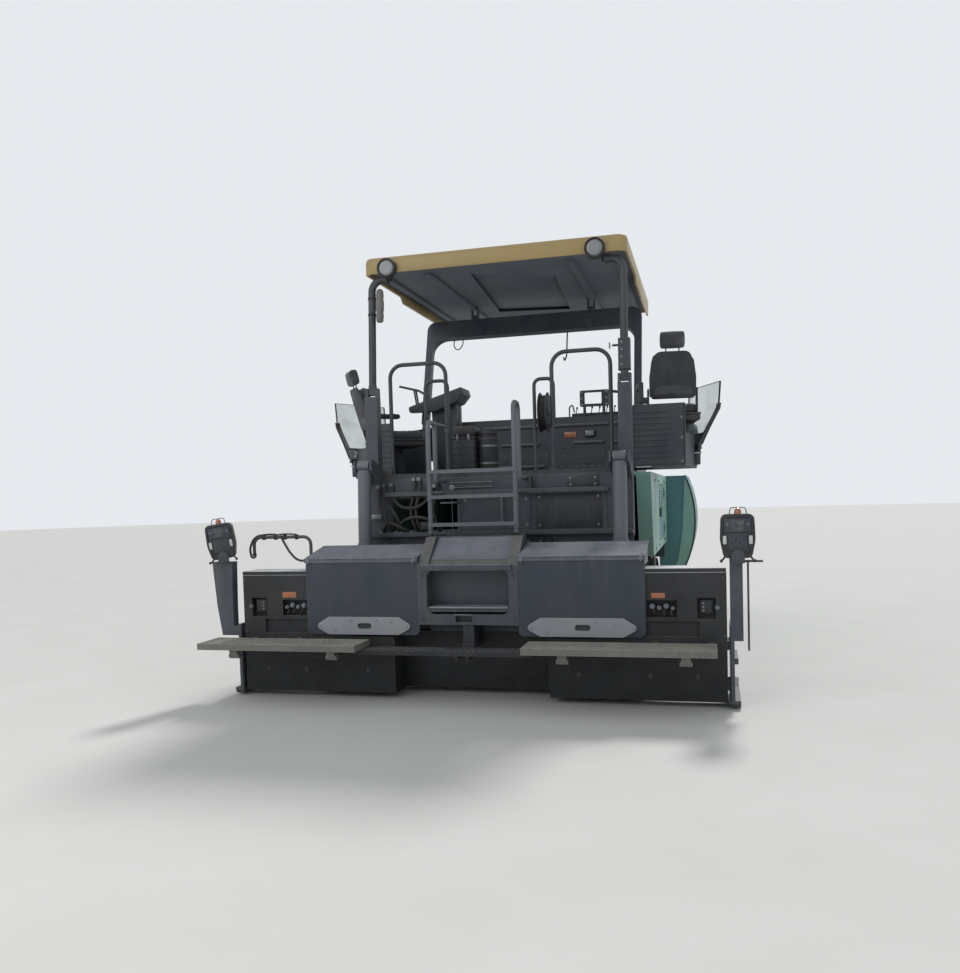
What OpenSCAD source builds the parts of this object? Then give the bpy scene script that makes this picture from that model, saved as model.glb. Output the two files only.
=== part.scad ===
// Tracked asphalt paver with an extending screed, canopy and swung-out seats.
// +X right seen from behind, +Y travel direction, +Z up, origin on the ground at the middle.

/* [Tractor] */
// half width of the tractor body
body_half = 1250; // [1230:5:1262]
// top of the driver's deck
deck_z = 1700; // [1680:5:1720]
// top of the engine hood
hood_z = 2270; // [2230:5:2320]
// rear face of the tractor
rear_y = -1800; // [-1820:5:-1790]
// rear face of the engine hood
hood_y = -100; // [-110:5:-60]

/* [Tracks] */
// middle of each track from the centre line
track_x = 985; // [970:5:995]
// width of a track pad
track_w = 305; // [280:5:310]
// height of the track loop
track_h = 760; // [740:5:780]
// rear end of the track loop
track_rear = -1605; // [-1640:5:-1580]
// front end of the track loop
track_front = 1545; // [1500:5:1600]

/* [Hopper] */
// half width of the open hopper
hopper_half = 1555; // [1535:5:1600]
// front end of the hopper
hopper_front = 2800; // [2750:5:2820]
// wing pivot from the centre line
wing_x = 730; // [720:5:750]
// top edge of the wings
wing_top = 1670; // [1600:5:1700]

/* [Screed] */
// how far each extension stands out
ext_out = 545; // [450:5:600]
// rear face of the screed covers
face_y = -2755; // [-2770:1:-2745]
// top of the walkway boards
board_z = 457; // [450:1:462]
// depth of the walkway boards
board_d = 328; // [300:1:335]
// half width of the middle step block
mid_half = 376; // [360:1:380]
// rear top edge of the screed covers
cover_z = 1050; // [1030:1:1070]

/* [Canopy] */
// half width of the roof
roof_half = 1116; // [1100:2:1140]
// underside of the roof's rear fascia
roof_z = 3420; // [3380:5:3450]
// rear edge of the roof
roof_rear = -1745; // [-1780:5:-1730]
// front edge of the roof
roof_front = 845; // [800:5:900]

/* [Hidden] */
$fn = 32;

gap = 0.3;
sheet = 12;
plate = 25;

// track loop
tr_r = track_h / 2;
pad_t = 34;
link_t = 46;
tr_a = track_rear + tr_r;
tr_b = track_front - tr_r;
pads_run = 16;
pads_end = 8;

// chassis
frame_x = 640;
frame_t = 30;
frame_low = 330;
floor_z = 386;
tunnel_z = 700;
front_y = 1130;
post_x = body_half - 175;
hood_half = body_half - 220;

// eyes for tying the machine down: y, z, reach to the rear
lug_t = 25;
lug_x = frame_x + gap;
tie_eyes = [[hopper_front - 90, 390, 60], [rear_y + 110, 400, 60]];

// screed, all from the cover's rear face
screed_half = body_half + 25;
ext_y0 = face_y + 20;
ext_y1 = face_y + 255;
main_y0 = face_y + 275;
main_y1 = face_y + 540;
cover_y1 = face_y + 350;
cover_low = 486;
lid_z = cover_z + 80;
sole = 40;
main_top = 480;
ext_end = screed_half + ext_out;
ext_top = 966;
tow_y = 245;
tow_z = 500;
arm_x0 = body_half - 75;
arm_t = 88;
auger_y = rear_y - 212;
auger_z = 430;
auger_r = 175;
lift_x = arm_x0 - 125;
lift_pin = [-2050, 1780];
lift_eye = [-2110, 712];

// canopy links: y and z of the pivots
portal_low = [-315, 2200];
portal_top = [45, roof_z - 60];
rear_low = [roof_rear + 15, 2420];
rear_top = [roof_rear + 85, roof_z - 35];
portal_a = atan2(portal_top[0] - portal_low[0], portal_top[1] - portal_low[1]);
portal_len = norm(portal_top - portal_low);

// seats and pods
seat_x = body_half + 145;
seat_y = -855;
pod_z = 1706;
pod_in = body_half - 190;
pod_out = body_half + 350;
pod_y0 = -1250;
pod_y1 = -372;
// rear edge of the pod's outer wall, and the leaning screen's outer foot and turn
pod_rear = -880;
screen_x = pod_out + 15;
screen_turn = 24;
sill_z = 2000;
bend_z = 2260;
// left and right: outer end and top of the ribbed cover, seat axis, top of its base
pods = [[1290, 2190, seat_x - 145, 1945], [1530, 2240, seat_x, 2060]];

module box(x0, x1, y0, y1, z0, z1) translate([x0, y0, z0]) cube([x1 - x0, y1 - y0, z1 - z0]);
module pair() { children(); mirror([1, 0, 0]) children(); }
module rod(p, q, r) {
  d = q - p;
  translate(p) rotate([0, atan2(norm([d[0], d[1]]), d[2]), atan2(d[1], d[0])])
    cylinder(r = r, h = norm(d));
}
// tube of radius r bent along flat points, each corner turned on radius b
function unit(v) = v / norm(v);
function turn(a, c) = atan2(a[0] * c[1] - a[1] * c[0], a * c);
function bend_cut(pts, i, b) = i <= 0 || i >= len(pts) - 1 ? 0 :
  b * tan(abs(turn(pts[i] - pts[i - 1], pts[i + 1] - pts[i])) / 2);
module flat_tube(pts, r, b) {
  for (i = [0 : len(pts) - 2]) let (d = pts[i + 1] - pts[i], u = unit(d), c0 = bend_cut(pts, i, b), c1 = bend_cut(pts, i + 1, b)) {
    translate([pts[i][0] + u[0] * c0, pts[i][1] + u[1] * c0, 0]) rotate([0, 90, atan2(u[1], u[0])])
      cylinder(r = r, h = norm(d) - c0 - c1);
    if (i < len(pts) - 2) let (a = turn(d, pts[i + 2] - pts[i + 1]), g = a > 0 ? 1 : -1, q = pts[i + 1] - u * c1)
      if (abs(a) > 0.01) translate([q[0] - g * u[1] * b, q[1] + g * u[0] * b, 0])
        rotate([0, 0, atan2(u[1], u[0]) - g * 90 - (g > 0 ? 0 : abs(a))])
          rotate_extrude(angle = abs(a)) translate([b, 0]) circle(r);
  }
}
// the same standing across the machine at y, or along it at x
module tube_across(y, pts, r, b) translate([0, y, 0]) rotate([90, 0, 0]) flat_tube(pts, r, b);
module tube_along(x, pts, r, b) translate([x, 0, 0]) rotate([90, 0, 90]) flat_tube(pts, r, b);
module along_x(x0, x1, y, z, r) translate([x0, y, z]) rotate([0, 90, 0]) cylinder(r = r, h = x1 - x0);
module along_y(x, y0, y1, z, r) translate([x, y0, z]) rotate([-90, 0, 0]) cylinder(r = r, h = y1 - y0);
module along_z(x, y, z0, z1, r) translate([x, y, z0]) cylinder(r = r, h = z1 - z0);
// profile in y and z, drawn out along x
module side_cut(x0, x1, pts) translate([x0, 0, 0]) rotate([90, 0, 90]) linear_extrude(x1 - x0) polygon(pts);
// profile in x and z, drawn out along y
module cross_cut(y0, y1, pts) translate([0, y1, 0]) rotate([90, 0, 0]) linear_extrude(y1 - y0) polygon(pts);
module rounded(w, h, r) {
  translate([r, 0]) square([w - 2 * r, h]);
  translate([0, r]) square([w, h - 2 * r]);
  for (x = [r, w - r]) for (y = [r, h - r]) translate([x, y]) circle(r);
}

// long frame plates, tunnel floor, tie-down lugs and the push beam's lugs
module chassis() color("#3E4550") {
  pair() box(frame_x - frame_t, frame_x, rear_y + plate, hopper_front, frame_low, 560);
  box(-frame_x + frame_t, frame_x - frame_t, rear_y + plate, hopper_front, frame_low, frame_low + 20);
  // push beam pivot lugs
  for (z = [frame_low, 505]) box(-75, 75, hopper_front, hopper_front + 90, z, z + 25);
  along_z(0, hopper_front + 60, frame_low, 530, 24);
}

// lugs on the frame's plates where the machine is tied down on a low loader
module tie_down_lugs() color("#3E4550") pair() difference() {
  for (e = tie_eyes) box(lug_x, lug_x + lug_t, e[0] - e[2], e[0] + 60, e[1] - 45, e[1] + 45);
  for (e = tie_eyes) along_x(lug_x - 1, lug_x + lug_t + 1, e[0], e[1], 25);
}

// upper frame plates that carry the engine, tunnel roof, and the tow point brackets outside the tracks
module engine_frame() color("#3E4550") {
  pair() box(frame_x - frame_t, frame_x, rear_y + plate, front_y - plate, 560, 950);
  box(-frame_x + frame_t, frame_x - frame_t, rear_y + plate, front_y - plate, tunnel_z, tunnel_z + 20);
  pair() box(frame_x, body_half - 30, -1180, front_y - plate, 925, 950);
  pair() box(arm_x0 - 32, arm_x0 - 8, tow_y - 90, tow_y + 90, 400, 925);
  pair() along_x(arm_x0 - 32, arm_x0 + arm_t + 14, tow_y, tow_z, 30);
}

// rear wall with its shelves, post stools and lift brackets
module rear_wall() color("#3E4550") {
  difference() {
    union() {
      box(-post_x - 53, post_x + 53, rear_y, rear_y + plate, 640, deck_z - 35);
      pair() box(frame_x - frame_t, frame_x, rear_y, rear_y + plate, frame_low, 640);
    }
    box(-frame_x + frame_t, frame_x - frame_t, rear_y - 1, rear_y + plate + 1, 600, tunnel_z);
    // recess where the hydraulic hoses come out, left of the ladder
    box(-900, -330, rear_y - 1, rear_y + plate + 1, 1230, 1500);
  }
  // shelves and ribs on the rear wall
  for (s = [[1180, post_x + 53], [1520, 940]]) box(-s[1], s[1], rear_y - 90, rear_y, s[0], s[0] + 22);
  pair() box(post_x - 53, post_x + 53, rear_y + plate, rear_y + 125, 1160, deck_z - 35);
  pair() box(post_x - 53, post_x + 53, rear_y + 5, rear_y + 110, deck_z - 35, rear_low[1] - 45);
  pair() for (x = [post_x - 53, post_x + 33]) {
    box(x, x + 20, rear_low[0] - 36, rear_low[0] + 36, rear_low[1] - 45, rear_low[1] + 32);
  }
  pair() along_x(post_x - 53, post_x + 53, rear_low[0], rear_low[1], 14);
  // upper pins of the screed lift cylinders
  pair() for (x = [lift_x - 78, lift_x + 62])
    side_cut(x, x + 16, [[rear_y, lift_pin[1] - 180], [rear_y, lift_pin[1] - 90 + 55],
      [lift_pin[0] + 40, lift_pin[1] + 42], [lift_pin[0] - 42, lift_pin[1] + 42], [lift_pin[0] - 42, lift_pin[1] - 42]]);
  pair() along_x(lift_x - 62, lift_x + 62, lift_pin[0], lift_pin[1], 20);
}

// hanger and middle bearing of the augers
module auger_hanger() color("#3E4550") {
  box(-18, 18, auger_y - 60, rear_y, tunnel_z, tunnel_z + 60);
  box(-18, 18, auger_y - 60, auger_y + 60, auger_z, tunnel_z);
  along_x(-30, 30, auger_y, auger_z, 90);
}

module engine() color("#4A4C52") box(-430, 430, 40, 960, tunnel_z + 20, 1900);

module hood() color("#3E4550") difference() {
  union() {
    box(-hood_half, hood_half, hood_y, front_y, deck_z - 35, hood_z);
    // ears that carry the front portal
    pair() side_cut(hood_half + 32, hood_half + 58, [[portal_low[0] - 36, 2190], [portal_low[0] - 36, 2120], [hood_y, 1880], [hood_y + 200, 1880],
      [hood_y + 200, 2235], [hood_y, 2235], [portal_low[0] + 28, 2158]]);
    pair() box(hood_half, hood_half + 32, hood_y + 5, hood_y + 200, 1880, 2235);
    pair() along_x(hood_half + 32, hood_half + 58, portal_low[0], portal_low[1], 38);
    pair() along_x(hood_half + 4, hood_half + 58, portal_low[0], portal_low[1], 16);
  }
  box(-hood_half + plate, hood_half - plate, hood_y + plate, front_y - plate, deck_z - 40, hood_z - plate);
  // side grilles
  for (i = [0 : 7]) for (s = [-1, 1]) translate([s * (hood_half - 12), 160 + i * 105, 1830])
    translate([-20, 0, 0]) cube([40, 55, 300]);
  // top grilles
  for (i = [0 : 9]) box(-500, 500, 180 + i * 70, 215 + i * 70, hood_z - 40, hood_z + 1);
}

module side_panels() color("#6E9C90") pair() { side_panel(); knuckles(); }
module side_panel() difference() {
  union() {
    side_cut(body_half - plate, body_half, [[-1500, deck_z - 50], [-1280, 950], [front_y - plate, 950], [front_y - plate, deck_z - 50]]);
    box(hood_half, body_half, -1500, front_y - plate, deck_z - 60, deck_z - 35);
    box(frame_x, body_half, -1280, front_y - plate, 950, 962);
    side_cut(post_x + 53 + 1, body_half, [[-1500, deck_z - 35], [-1500, deck_z - 60], [-1280, 962], [-1256, 962], [-1476, deck_z - 60], [-1476, deck_z - 35]]);
  }
  box(body_half - plate - 1, body_half + 1, -350, door_y, 1030, 1570);
}
module knuckles() for (z = [1060, 1140 + gap, 1420, 1500 + gap]) {
  box(body_half - 0.5, body_half + 8, door_y, door_y + 40, z, z + 40 - gap);
  along_z(body_half + 8, door_y, z, z + 40 - gap, 8);
}

door_y = 500;
module door() color("#3F6065") {
  box(body_half - plate + 5, body_half, -344, 494, 1036, 1564);
  for (z = [1100, 1460]) {
    box(body_half, body_half + 8, 440, door_y, z, z + 40);
    along_z(body_half + 8, door_y, z, z + 40, 8);
  }
  box(body_half, body_half + 14, -310, -280, 1260, 1340);
}
module door_left() mirror([1, 0, 0]) door();
module door_right() door();

// driver's deck with its kick rail and the kerb at the rear edge
module deck() color("#3A3F48") {
  difference() {
    box(-hood_half, hood_half, rear_y, hood_y, deck_z - 35, deck_z);
    pair() box(post_x - 53 - gap, hood_half + 1, rear_y - 1, rear_y + 110 + gap, deck_z - 36, deck_z + 1);
  }
  pair() box(post_x - 165, post_x - 53, rear_y + 20, rear_y + 60, deck_z, deck_z + 60);
  // low slide rails of the pods and of the console
  pair() for (y = [pod_y0 + 60, pod_y1 - 110]) box(560, hood_half, y, y + 50, deck_z, pod_z - gap);
  box(-1000, 1000, hood_y - 160, hood_y - 100, deck_z, deck_z + 6 - gap);
}

// ladder on the tractor's rear: two hooked rails and its rungs
lad_y = -2215;
lad_x = [-434, 260];
module ladder() color("#6A6E78") {
  for (x = lad_x) {
    top = x < 0 ? 2100 : 2225;
    tube_along(x, [[lad_y, 1182], [lad_y, top], [lad_y + 170, top], [lad_y + 170, 1640]], 19, 60);
    along_y(x, lad_y + 170, rear_y, 1640, 16);
    for (z = [1191, 1531]) along_y(x, lad_y, rear_y - 90 - gap, z, 11);
  }
  for (z = [1270, 1490, 1690]) box(lad_x[0], lad_x[1], lad_y - 30, lad_y + 40, z, z + 28);
}

module air_filter() color("#33373E") {
  box(-450, -250, -1480, -1210, deck_z, 2120);
  along_z(-160, -1345, deck_z, 2080, 88);
  box(-252, -200, -1380, -1310, 1960, 2040);
}

// hand rails beside the ladder opening and the round hose drum
module handrails() color("#5A5E66") {
  y = rear_y + 90;
  tube_across(y, [[-hood_half + 110, deck_z], [-hood_half + 110, 2640], [-424, 2640], [-424, deck_z]], 17, 110);
  tube_across(y + 100, [[-640, deck_z], [-640, 2500], [-440, 2500], [-440, deck_z]], 15, 60);
  tube_across(y, [[480, deck_z], [480, 2660], [hood_half - 70, 2660], [hood_half - 70, deck_z]], 17, 120);
  tube_across(y + 70, [[318, deck_z], [318, 2460], [480, 2460], [480, 2080]], 15, 55);
  box(316, 470, y + 60, y + 82, 2060, 2090);
  along_x(368, 436, y + 70, 2180, 165);
}

module track_pads_2d() {
  r0 = tr_r - pad_t;
  difference() {
    union() { translate([tr_a, tr_r]) circle(r0, $fn = 48); translate([tr_b, tr_r]) circle(r0, $fn = 48);
      translate([tr_a, pad_t]) square([tr_b - tr_a, 2 * r0]); }
    track_hole_2d();
  }
}
module track_hole_2d() {
  r1 = tr_r - pad_t - link_t;
  translate([tr_a, tr_r]) circle(r1, $fn = 48);
  translate([tr_b, tr_r]) circle(r1, $fn = 48);
  translate([tr_a, tr_r - r1]) square([tr_b - tr_a, 2 * r1]);
}
// closed loop of links with a pad on each, drawn as one outline
module track() color("#2C2D2F") {
  pitch = (tr_b - tr_a) / pads_run;
  pl = pitch - 14;
  translate([track_x - 80, 0, 0]) rotate([90, 0, 90]) linear_extrude(160) track_pads_2d();
  translate([track_x - track_w / 2, 0, 0]) rotate([90, 0, 90]) linear_extrude(track_w) {
    for (i = [0 : pads_run - 1]) for (z = [0, track_h - pad_t - 8])
      translate([tr_a + (i + 0.5) * pitch - pl / 2, z]) square([pl, pad_t + 8]);
    for (e = [[tr_a, 90], [tr_b, -90]]) for (i = [0 : pads_end - 1])
      translate([e[0], tr_r]) rotate(e[1] + (i + 0.5) * 180 / pads_end) translate([tr_r - pad_t - 8, -pl / 2 + 4]) square([pad_t, pl - 8]);
  }
}
module track_left() mirror([1, 0, 0]) track();
module track_right() track();

// roller frames inside the loops, with drive wheel, idler and rollers
module track_frames() color("#3A3D42") pair() {
  r1 = tr_r - pad_t - link_t - gap;
  low = tr_r - r1;
  along_x(track_x - 45, track_x + 45, tr_a, tr_r, r1);
  along_x(track_x - 45, track_x + 45, tr_b, tr_r, r1);
  box(track_x - 62, track_x + 62, tr_a, tr_b, 300, 470);
  along_x(frame_x, track_x, tr_a, tr_r, 120);
  for (y = [-200, 800]) box(frame_x, track_x, y - 70, y + 70, 320, 440);
  for (i = [0 : 6]) {
    along_x(track_x - 70, track_x + 70, tr_a + 320 + i * 290, low + 88, 88);
    along_x(track_x - 75, track_x + 75, tr_a + 320 + i * 290, low + 88, 30);
    box(track_x - 75, track_x + 75, tr_a + 300 + i * 290, tr_a + 340 + i * 290, low + 88, 302);
  }
  for (y = [-500, 450]) {
    along_x(track_x - 70, track_x + 70, y, 2 * tr_r - low - 60, 60);
    box(track_x - 30, track_x + 30, y - 20, y + 20, 468, 2 * tr_r - low - 60);
  }
}

// two lanes of drag slats on the tunnel floor
module conveyor() color("#55585C") {
  box(-frame_x + frame_t, frame_x - frame_t, rear_y + 60, hopper_front - 40, floor_z - 14, floor_z);
  for (x = [-560, -40, 20, 540]) box(x, x + 20, rear_y + 60, hopper_front - 40, floor_z, floor_z + 30);
  for (i = [0 : 17]) for (s = [-545, 35]) box(s, s + 510, rear_y + 110 + i * 250, rear_y + 145 + i * 250, floor_z, floor_z + 22);
  box(-18, 18, rear_y + 60, hopper_front - 40, floor_z - 36, floor_z - 14);
}

// fixed hopper back wall, side sills with the wing pivots and the apron's lugs
wing_z = 700;
wing_t = 14;
wing_r = 1250;
wing_low = 640;
module hopper_base() color("#3F6065") {
  difference() {
    box(-body_half + 30, body_half - 30, front_y - plate, front_y, 563, deck_z - 35);
    box(-560, 560, front_y - plate - 1, front_y + 1, 562, tunnel_z);
    pair() box(frame_x + 34, body_half, front_y - plate - 1, front_y + 1, 562, track_h + 14);
  }
  pair() box(frame_x, frame_x + 34, front_y - plate, hopper_front, 440, wing_z - 10);
  pair() along_y(wing_x, front_y, hopper_front - 6, wing_z, 13);
  pair() for (y = [front_y, 1950, hopper_front - 18]) box(frame_x + 20, wing_x + 10, y, y + 12, wing_z - 40, wing_z + 14);
  pair() difference() {
    box(650, 669, hopper_front - 2, apron_p[0] + 24, 545, 598);
    along_x(649, 670, apron_p[0], apron_p[1], 14.05);
  }
  pair() box(frame_x + 5, 669, hopper_front - 20, hopper_front, 545, 598);
}
function wing_arc(r, n, low) = [for (i = [0 : n]) let (z = low + (wing_top - low) * i / n)
  [hopper_half + 10 - wing_r + sqrt(pow(r, 2) - pow(z - 1180, 2)), z]];
module wing() color("#3F6065") {
  y0 = front_y + 36;
  y1 = hopper_front - 36;
  inner = wing_arc(wing_r - wing_t, 8, wing_low);
  cross_cut(y0, y1, concat(wing_arc(wing_r, 8, wing_low), [for (i = [8 : -1 : 0]) inner[i]]));
  cross_cut(y0, y1, [[wing_x + 26, wing_z + 20], [822, 778], [1180, 802], [1420, 856], [inner[2][0] + 6, 932], [inner[2][0] + 6, 952], [1410, 872], [1176, 816], [816, 793], [wing_x + 26, wing_z + 36]]);
  // pivot sleeves
  for (y = [front_y + 120, 1830, hopper_front - 220]) difference() {
    union() { along_y(wing_x, y, y + 90, wing_z, 26); box(wing_x, wing_x + 40, y, y + 90, wing_z - 10, wing_z + 25); }
    along_y(wing_x, y - 1, y + 91, wing_z, 13.05);
  }
  // rear closing plate
  cross_cut(y0, y0 + 16, concat([[wing_x + 40, wing_z + 42], [822, 786], [1160, 808], [1165, wing_low]], wing_arc(wing_r - 2, 8, wing_low), [[1165, wing_top], [1165, 1100], [wing_x + 40, 1000]]));
}
module wing_left() mirror([1, 0, 0]) wing();
module wing_right() wing();

apron_p = [hopper_front + 22, 572];
module apron() color("#3F6065") {
  side_cut(-640, 640, [[apron_p[0] - 8, 562], [apron_p[0] + 190, 580], [apron_p[0] + 192, 596], [apron_p[0] - 8, 584]]);
  along_x(-669, 669, apron_p[0], apron_p[1], 14);
  for (x = [-600, 0, 600]) side_cut(x - 8, x + 8, [[apron_p[0], 580], [apron_p[0] + 180, 590], [apron_p[0] + 180, 620], [apron_p[0] + 10, 604]]);
}

roll_y = hopper_front + 226;
roll_z = 440;
module push_beam() color("#3E4550") difference() {
  union() {
    box(-740, 740, hopper_front + 95, hopper_front + 132, 380, 480);
    box(-60, 60, hopper_front + 28, hopper_front + 97, 355 + gap, 505 - gap);
    for (x = [-740, -52, 32, 720]) side_cut(x, x + 20, [[hopper_front + 120, 385], [roll_y - 20, roll_z - 40], [roll_y + 32, roll_z - 20], [roll_y + 32, roll_z + 20], [roll_y - 20, roll_z + 36], [hopper_front + 120, 475]]);
    for (x = [-730, 42]) along_x(x, x + 690, roll_y, roll_z, 22);
  }
  along_z(0, hopper_front + 60, 300, 560, 24.05);
}
module push_roller(x) color("#6A6E78") difference() {
  union() { along_x(x, x + 640, roll_y, roll_z, 82); for (e = [x, x + 625]) along_x(e, e + 15, roll_y, roll_z, 88); }
  along_x(x - 1, x + 641, roll_y, roll_z, 22.05);
}
module push_roller_left() push_roller(-704);
module push_roller_right() push_roller(64);

// half flights set along the shaft stand for the screw
module auger() color("#55585C") {
  along_x(30 + gap, 1160, auger_y, auger_z, 38);
  for (i = [0 : 13]) for (h = [0, 1]) translate([60 + i * 78 + h * 39, auger_y, auger_z])
    rotate([0, 90, 0]) rotate([0, h == 0 ? 11 : -11, h * 180 + 90])
      rotate_extrude(angle = 180) translate([30, -6]) square([auger_r - 32, 12]);
}
module auger_left() mirror([1, 0, 0]) auger();
module auger_right() auger();

// main screed beam, sole and the legs under the covers
module screed_frame() color("#4A4D55") {
  side_cut(-screed_half, screed_half, [[main_y0, sole + 6], [main_y0 + 10, sole], [main_y1 - 60, sole], [main_y1, sole + 60], [main_y1, main_top - 60], [main_y1 - 40, main_top], [main_y0, main_top]]);
  box(-46, 46, face_y - 24, main_y0, 392, 425);
  side_cut(-40, 40, [[face_y + 2, 425], [main_y0, 425], [main_y0, 496], [main_y0 - 36, 560], [face_y + 2, 560]]);
  for (x = [-130, 0, 130]) along_y(x, main_y1, main_y1 + 14, 300, 30);
}

// tow arms from the tow points to the screed
module tow_arms() color("#3A3D42") pair() difference() {
  union() {
    side_cut(arm_x0, arm_x0 + arm_t, [[tow_y + 90, 420], [tow_y + 90, 575], [-1500, 600], [-1880, 800], [main_y1 + 20, 800],
      [main_y1 - 40, 760], [main_y0 + 100, 760], [main_y0 + 100, main_top], [main_y1 - 45, main_top], [main_y1 + 20, 640], [-1900, 640], [-1560, 430]]);
    // inner ears for the lift rods
    along_x(lift_x + 46, arm_x0, lift_eye[0], lift_eye[1], 40);
    along_x(lift_x - 52, lift_x + 46, lift_eye[0], lift_eye[1], 13);
    along_x(lift_x - 52, lift_x - 42, lift_eye[0], lift_eye[1], 34);
  }
  along_x(arm_x0 - 10, arm_x0 + arm_t + 10, tow_y, tow_z, 30.05);
}

// sheet covers over the extensions, with grip plates on the rear faces
module cover() {
    translate([mid_half + gap, face_y + sheet, cover_low]) rotate([90, 0, 0]) linear_extrude(sheet)
      rounded(screed_half - mid_half - gap, cover_z - cover_low, 38);
    box(mid_half + gap, screed_half, cover_y1 - sheet, cover_y1, main_top, lid_z - 8);
    for (x = [mid_half + 60, screed_half - 160]) box(x, x + 100, cover_y1, cover_y1 + 26, lid_z - 50, lid_z - 8 - gap);
    side_cut(mid_half + gap, mid_half + gap + sheet, [[face_y + 2, 990], [cover_y1 - 2, 990], [cover_y1 - 2, lid_z - 9], [face_y + 2, cover_z - 2]]);
    side_cut(screed_half - sheet, screed_half, [[face_y + 2, 990], [cover_y1 - 2, 990], [cover_y1 - 2, lid_z - 9], [face_y + 2, cover_z - 2]]);
}
guide_y = ext_y1 - 90;
module grip(c, w, h) translate([c, face_y, 552]) rotate([90, 0, 0]) linear_extrude(16) difference() {
  polygon([[-w / 2, 0], [-w / 2 + 90, h / 2], [w / 2 - 90, h / 2], [w / 2, 0], [w / 2 - 90, -h / 2 + 5], [-w / 2 + 90, -h / 2 + 5]]);
  translate([-45, -20]) rounded(110, 42, 20);
}
module covers() color("#3E4550") {
  pair() cover();
  // bent tube that guides the cables out over the left extension
  tube_across(guide_y, [[-screed_half - 27, 1000], [-screed_half - 27, 1225], [-ext_end + 30, 1225], [-ext_end + 30, 1090]], 13, 60);
  box(-screed_half - 32, -screed_half, guide_y - 20, guide_y + 20, 1004, 1050);
  grip(-815, 740, 138);
  grip(828, 770, 140);
}
module lid() color("#6B6F78") {
  side_cut(mid_half + 4, screed_half + 8, [[face_y - 10, cover_z + 2], [face_y - 10, cover_z + 12], [face_y + 10, cover_z + 18], [cover_y1 + 6, lid_z + 10], [cover_y1 + 6, lid_z]]);
  side_cut(mid_half + 4, screed_half + 8, [[face_y - 10, cover_z + 4], [face_y - 10, cover_z - 20], [face_y - 4, cover_z - 20], [face_y - 4, cover_z + 4]]);
  along_x(mid_half + 4, screed_half + 8, cover_y1 + 14, lid_z + 2, 10);
}
module lid_left() mirror([1, 0, 0]) lid();
module lid_right() lid();

// middle block with sloped plate, recessed step and side cheeks
step_top = 1200;
module steps() color("#3E4550") {
  difference() {
    side_cut(-mid_half, mid_half, [[face_y - 4, 566], [face_y - 4, 1000], [cover_y1 - 120, step_top], [cover_y1, step_top], [cover_y1, main_top], [main_y0 + 4, main_top], [main_y0 + 4, 500], [main_y0 - 30, 566]]);
    // sloped plate set in
    side_cut(-mid_half + 78, mid_half - 78, [[face_y - 5, 1020], [face_y - 5, 1300], [cover_y1 - 60, 1300], [cover_y1 - 60, 1190], [face_y + 70, 1035], [face_y + 40, 1010], [face_y - 5, 1010]]);
    // step well with round lower corners
    translate([-mid_half + 66, face_y + 150, 640]) rotate([90, 0, 0]) linear_extrude(160) rounded(2 * mid_half - 132, 330, 60);
    box(-95, 30, face_y - 5, face_y + 60, 585, 632);
  }
  box(-mid_half + 66, mid_half - 66, face_y + 6, face_y + 150, 662, 692);
  box(-mid_half + 40, mid_half - 40, face_y - 30, face_y + 20, 968, 1004);
}

// slatted plate under the walkway boards
module grating() color("#54555A") {
  y0 = face_y - 205;
  y1 = face_y - 24;
  for (y = [y0, y1 - 12]) box(-960, 500, y, y + 12, 372, 404);
  for (i = [0 : 36]) translate([-955 + i * 39.6, y0 + 4, 384]) rotate([0, 0, -20]) cube([10, y1 - y0 - 4, 20]);
  for (x = [-960, 488]) box(x, x + 12, y0, y1, 372, 404);
  for (x = [-46, 34]) box(x, x + 12, y0 + 12, y1 - 12, 340, 384);
}

// lift cylinders: barrels on the tractor, rods down to the tow arms
lift_len = norm(lift_pin - lift_eye);
lift_a = atan2(lift_eye[0] - lift_pin[0], lift_pin[1] - lift_eye[1]);
module lift_frame() translate([0, lift_pin[0], lift_pin[1]]) rotate([lift_a, 0, 0]) children();
module lift_barrels() color("#6A6E78") pair() translate([lift_x, 0, 0]) lift_frame() difference() {
  union() {
    translate([0, 0, -680]) cylinder(r = 55, h = 640);
    translate([-50, 0, 0]) rotate([0, 90, 0]) cylinder(r = 42, h = 100);
    translate([0, 0, -680]) cylinder(r = 62, h = 40);
  }
  translate([-51, 0, 0]) rotate([0, 90, 0]) cylinder(r = 20.05, h = 102);
  translate([0, 0, -690]) cylinder(r = 30.05, h = 590);
}
module lift_rods() color("#9EA3AB") pair() translate([lift_x, 0, 0]) lift_frame() difference() {
  union() {
    translate([0, 0, -lift_len + 36]) cylinder(r = 30, h = 600);
    translate([-36, 0, -lift_len]) rotate([0, 90, 0]) cylinder(r = 42, h = 72);
  }
  translate([-40, 0, -lift_len]) rotate([0, 90, 0]) cylinder(r = 24, h = 80);
}

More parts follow.
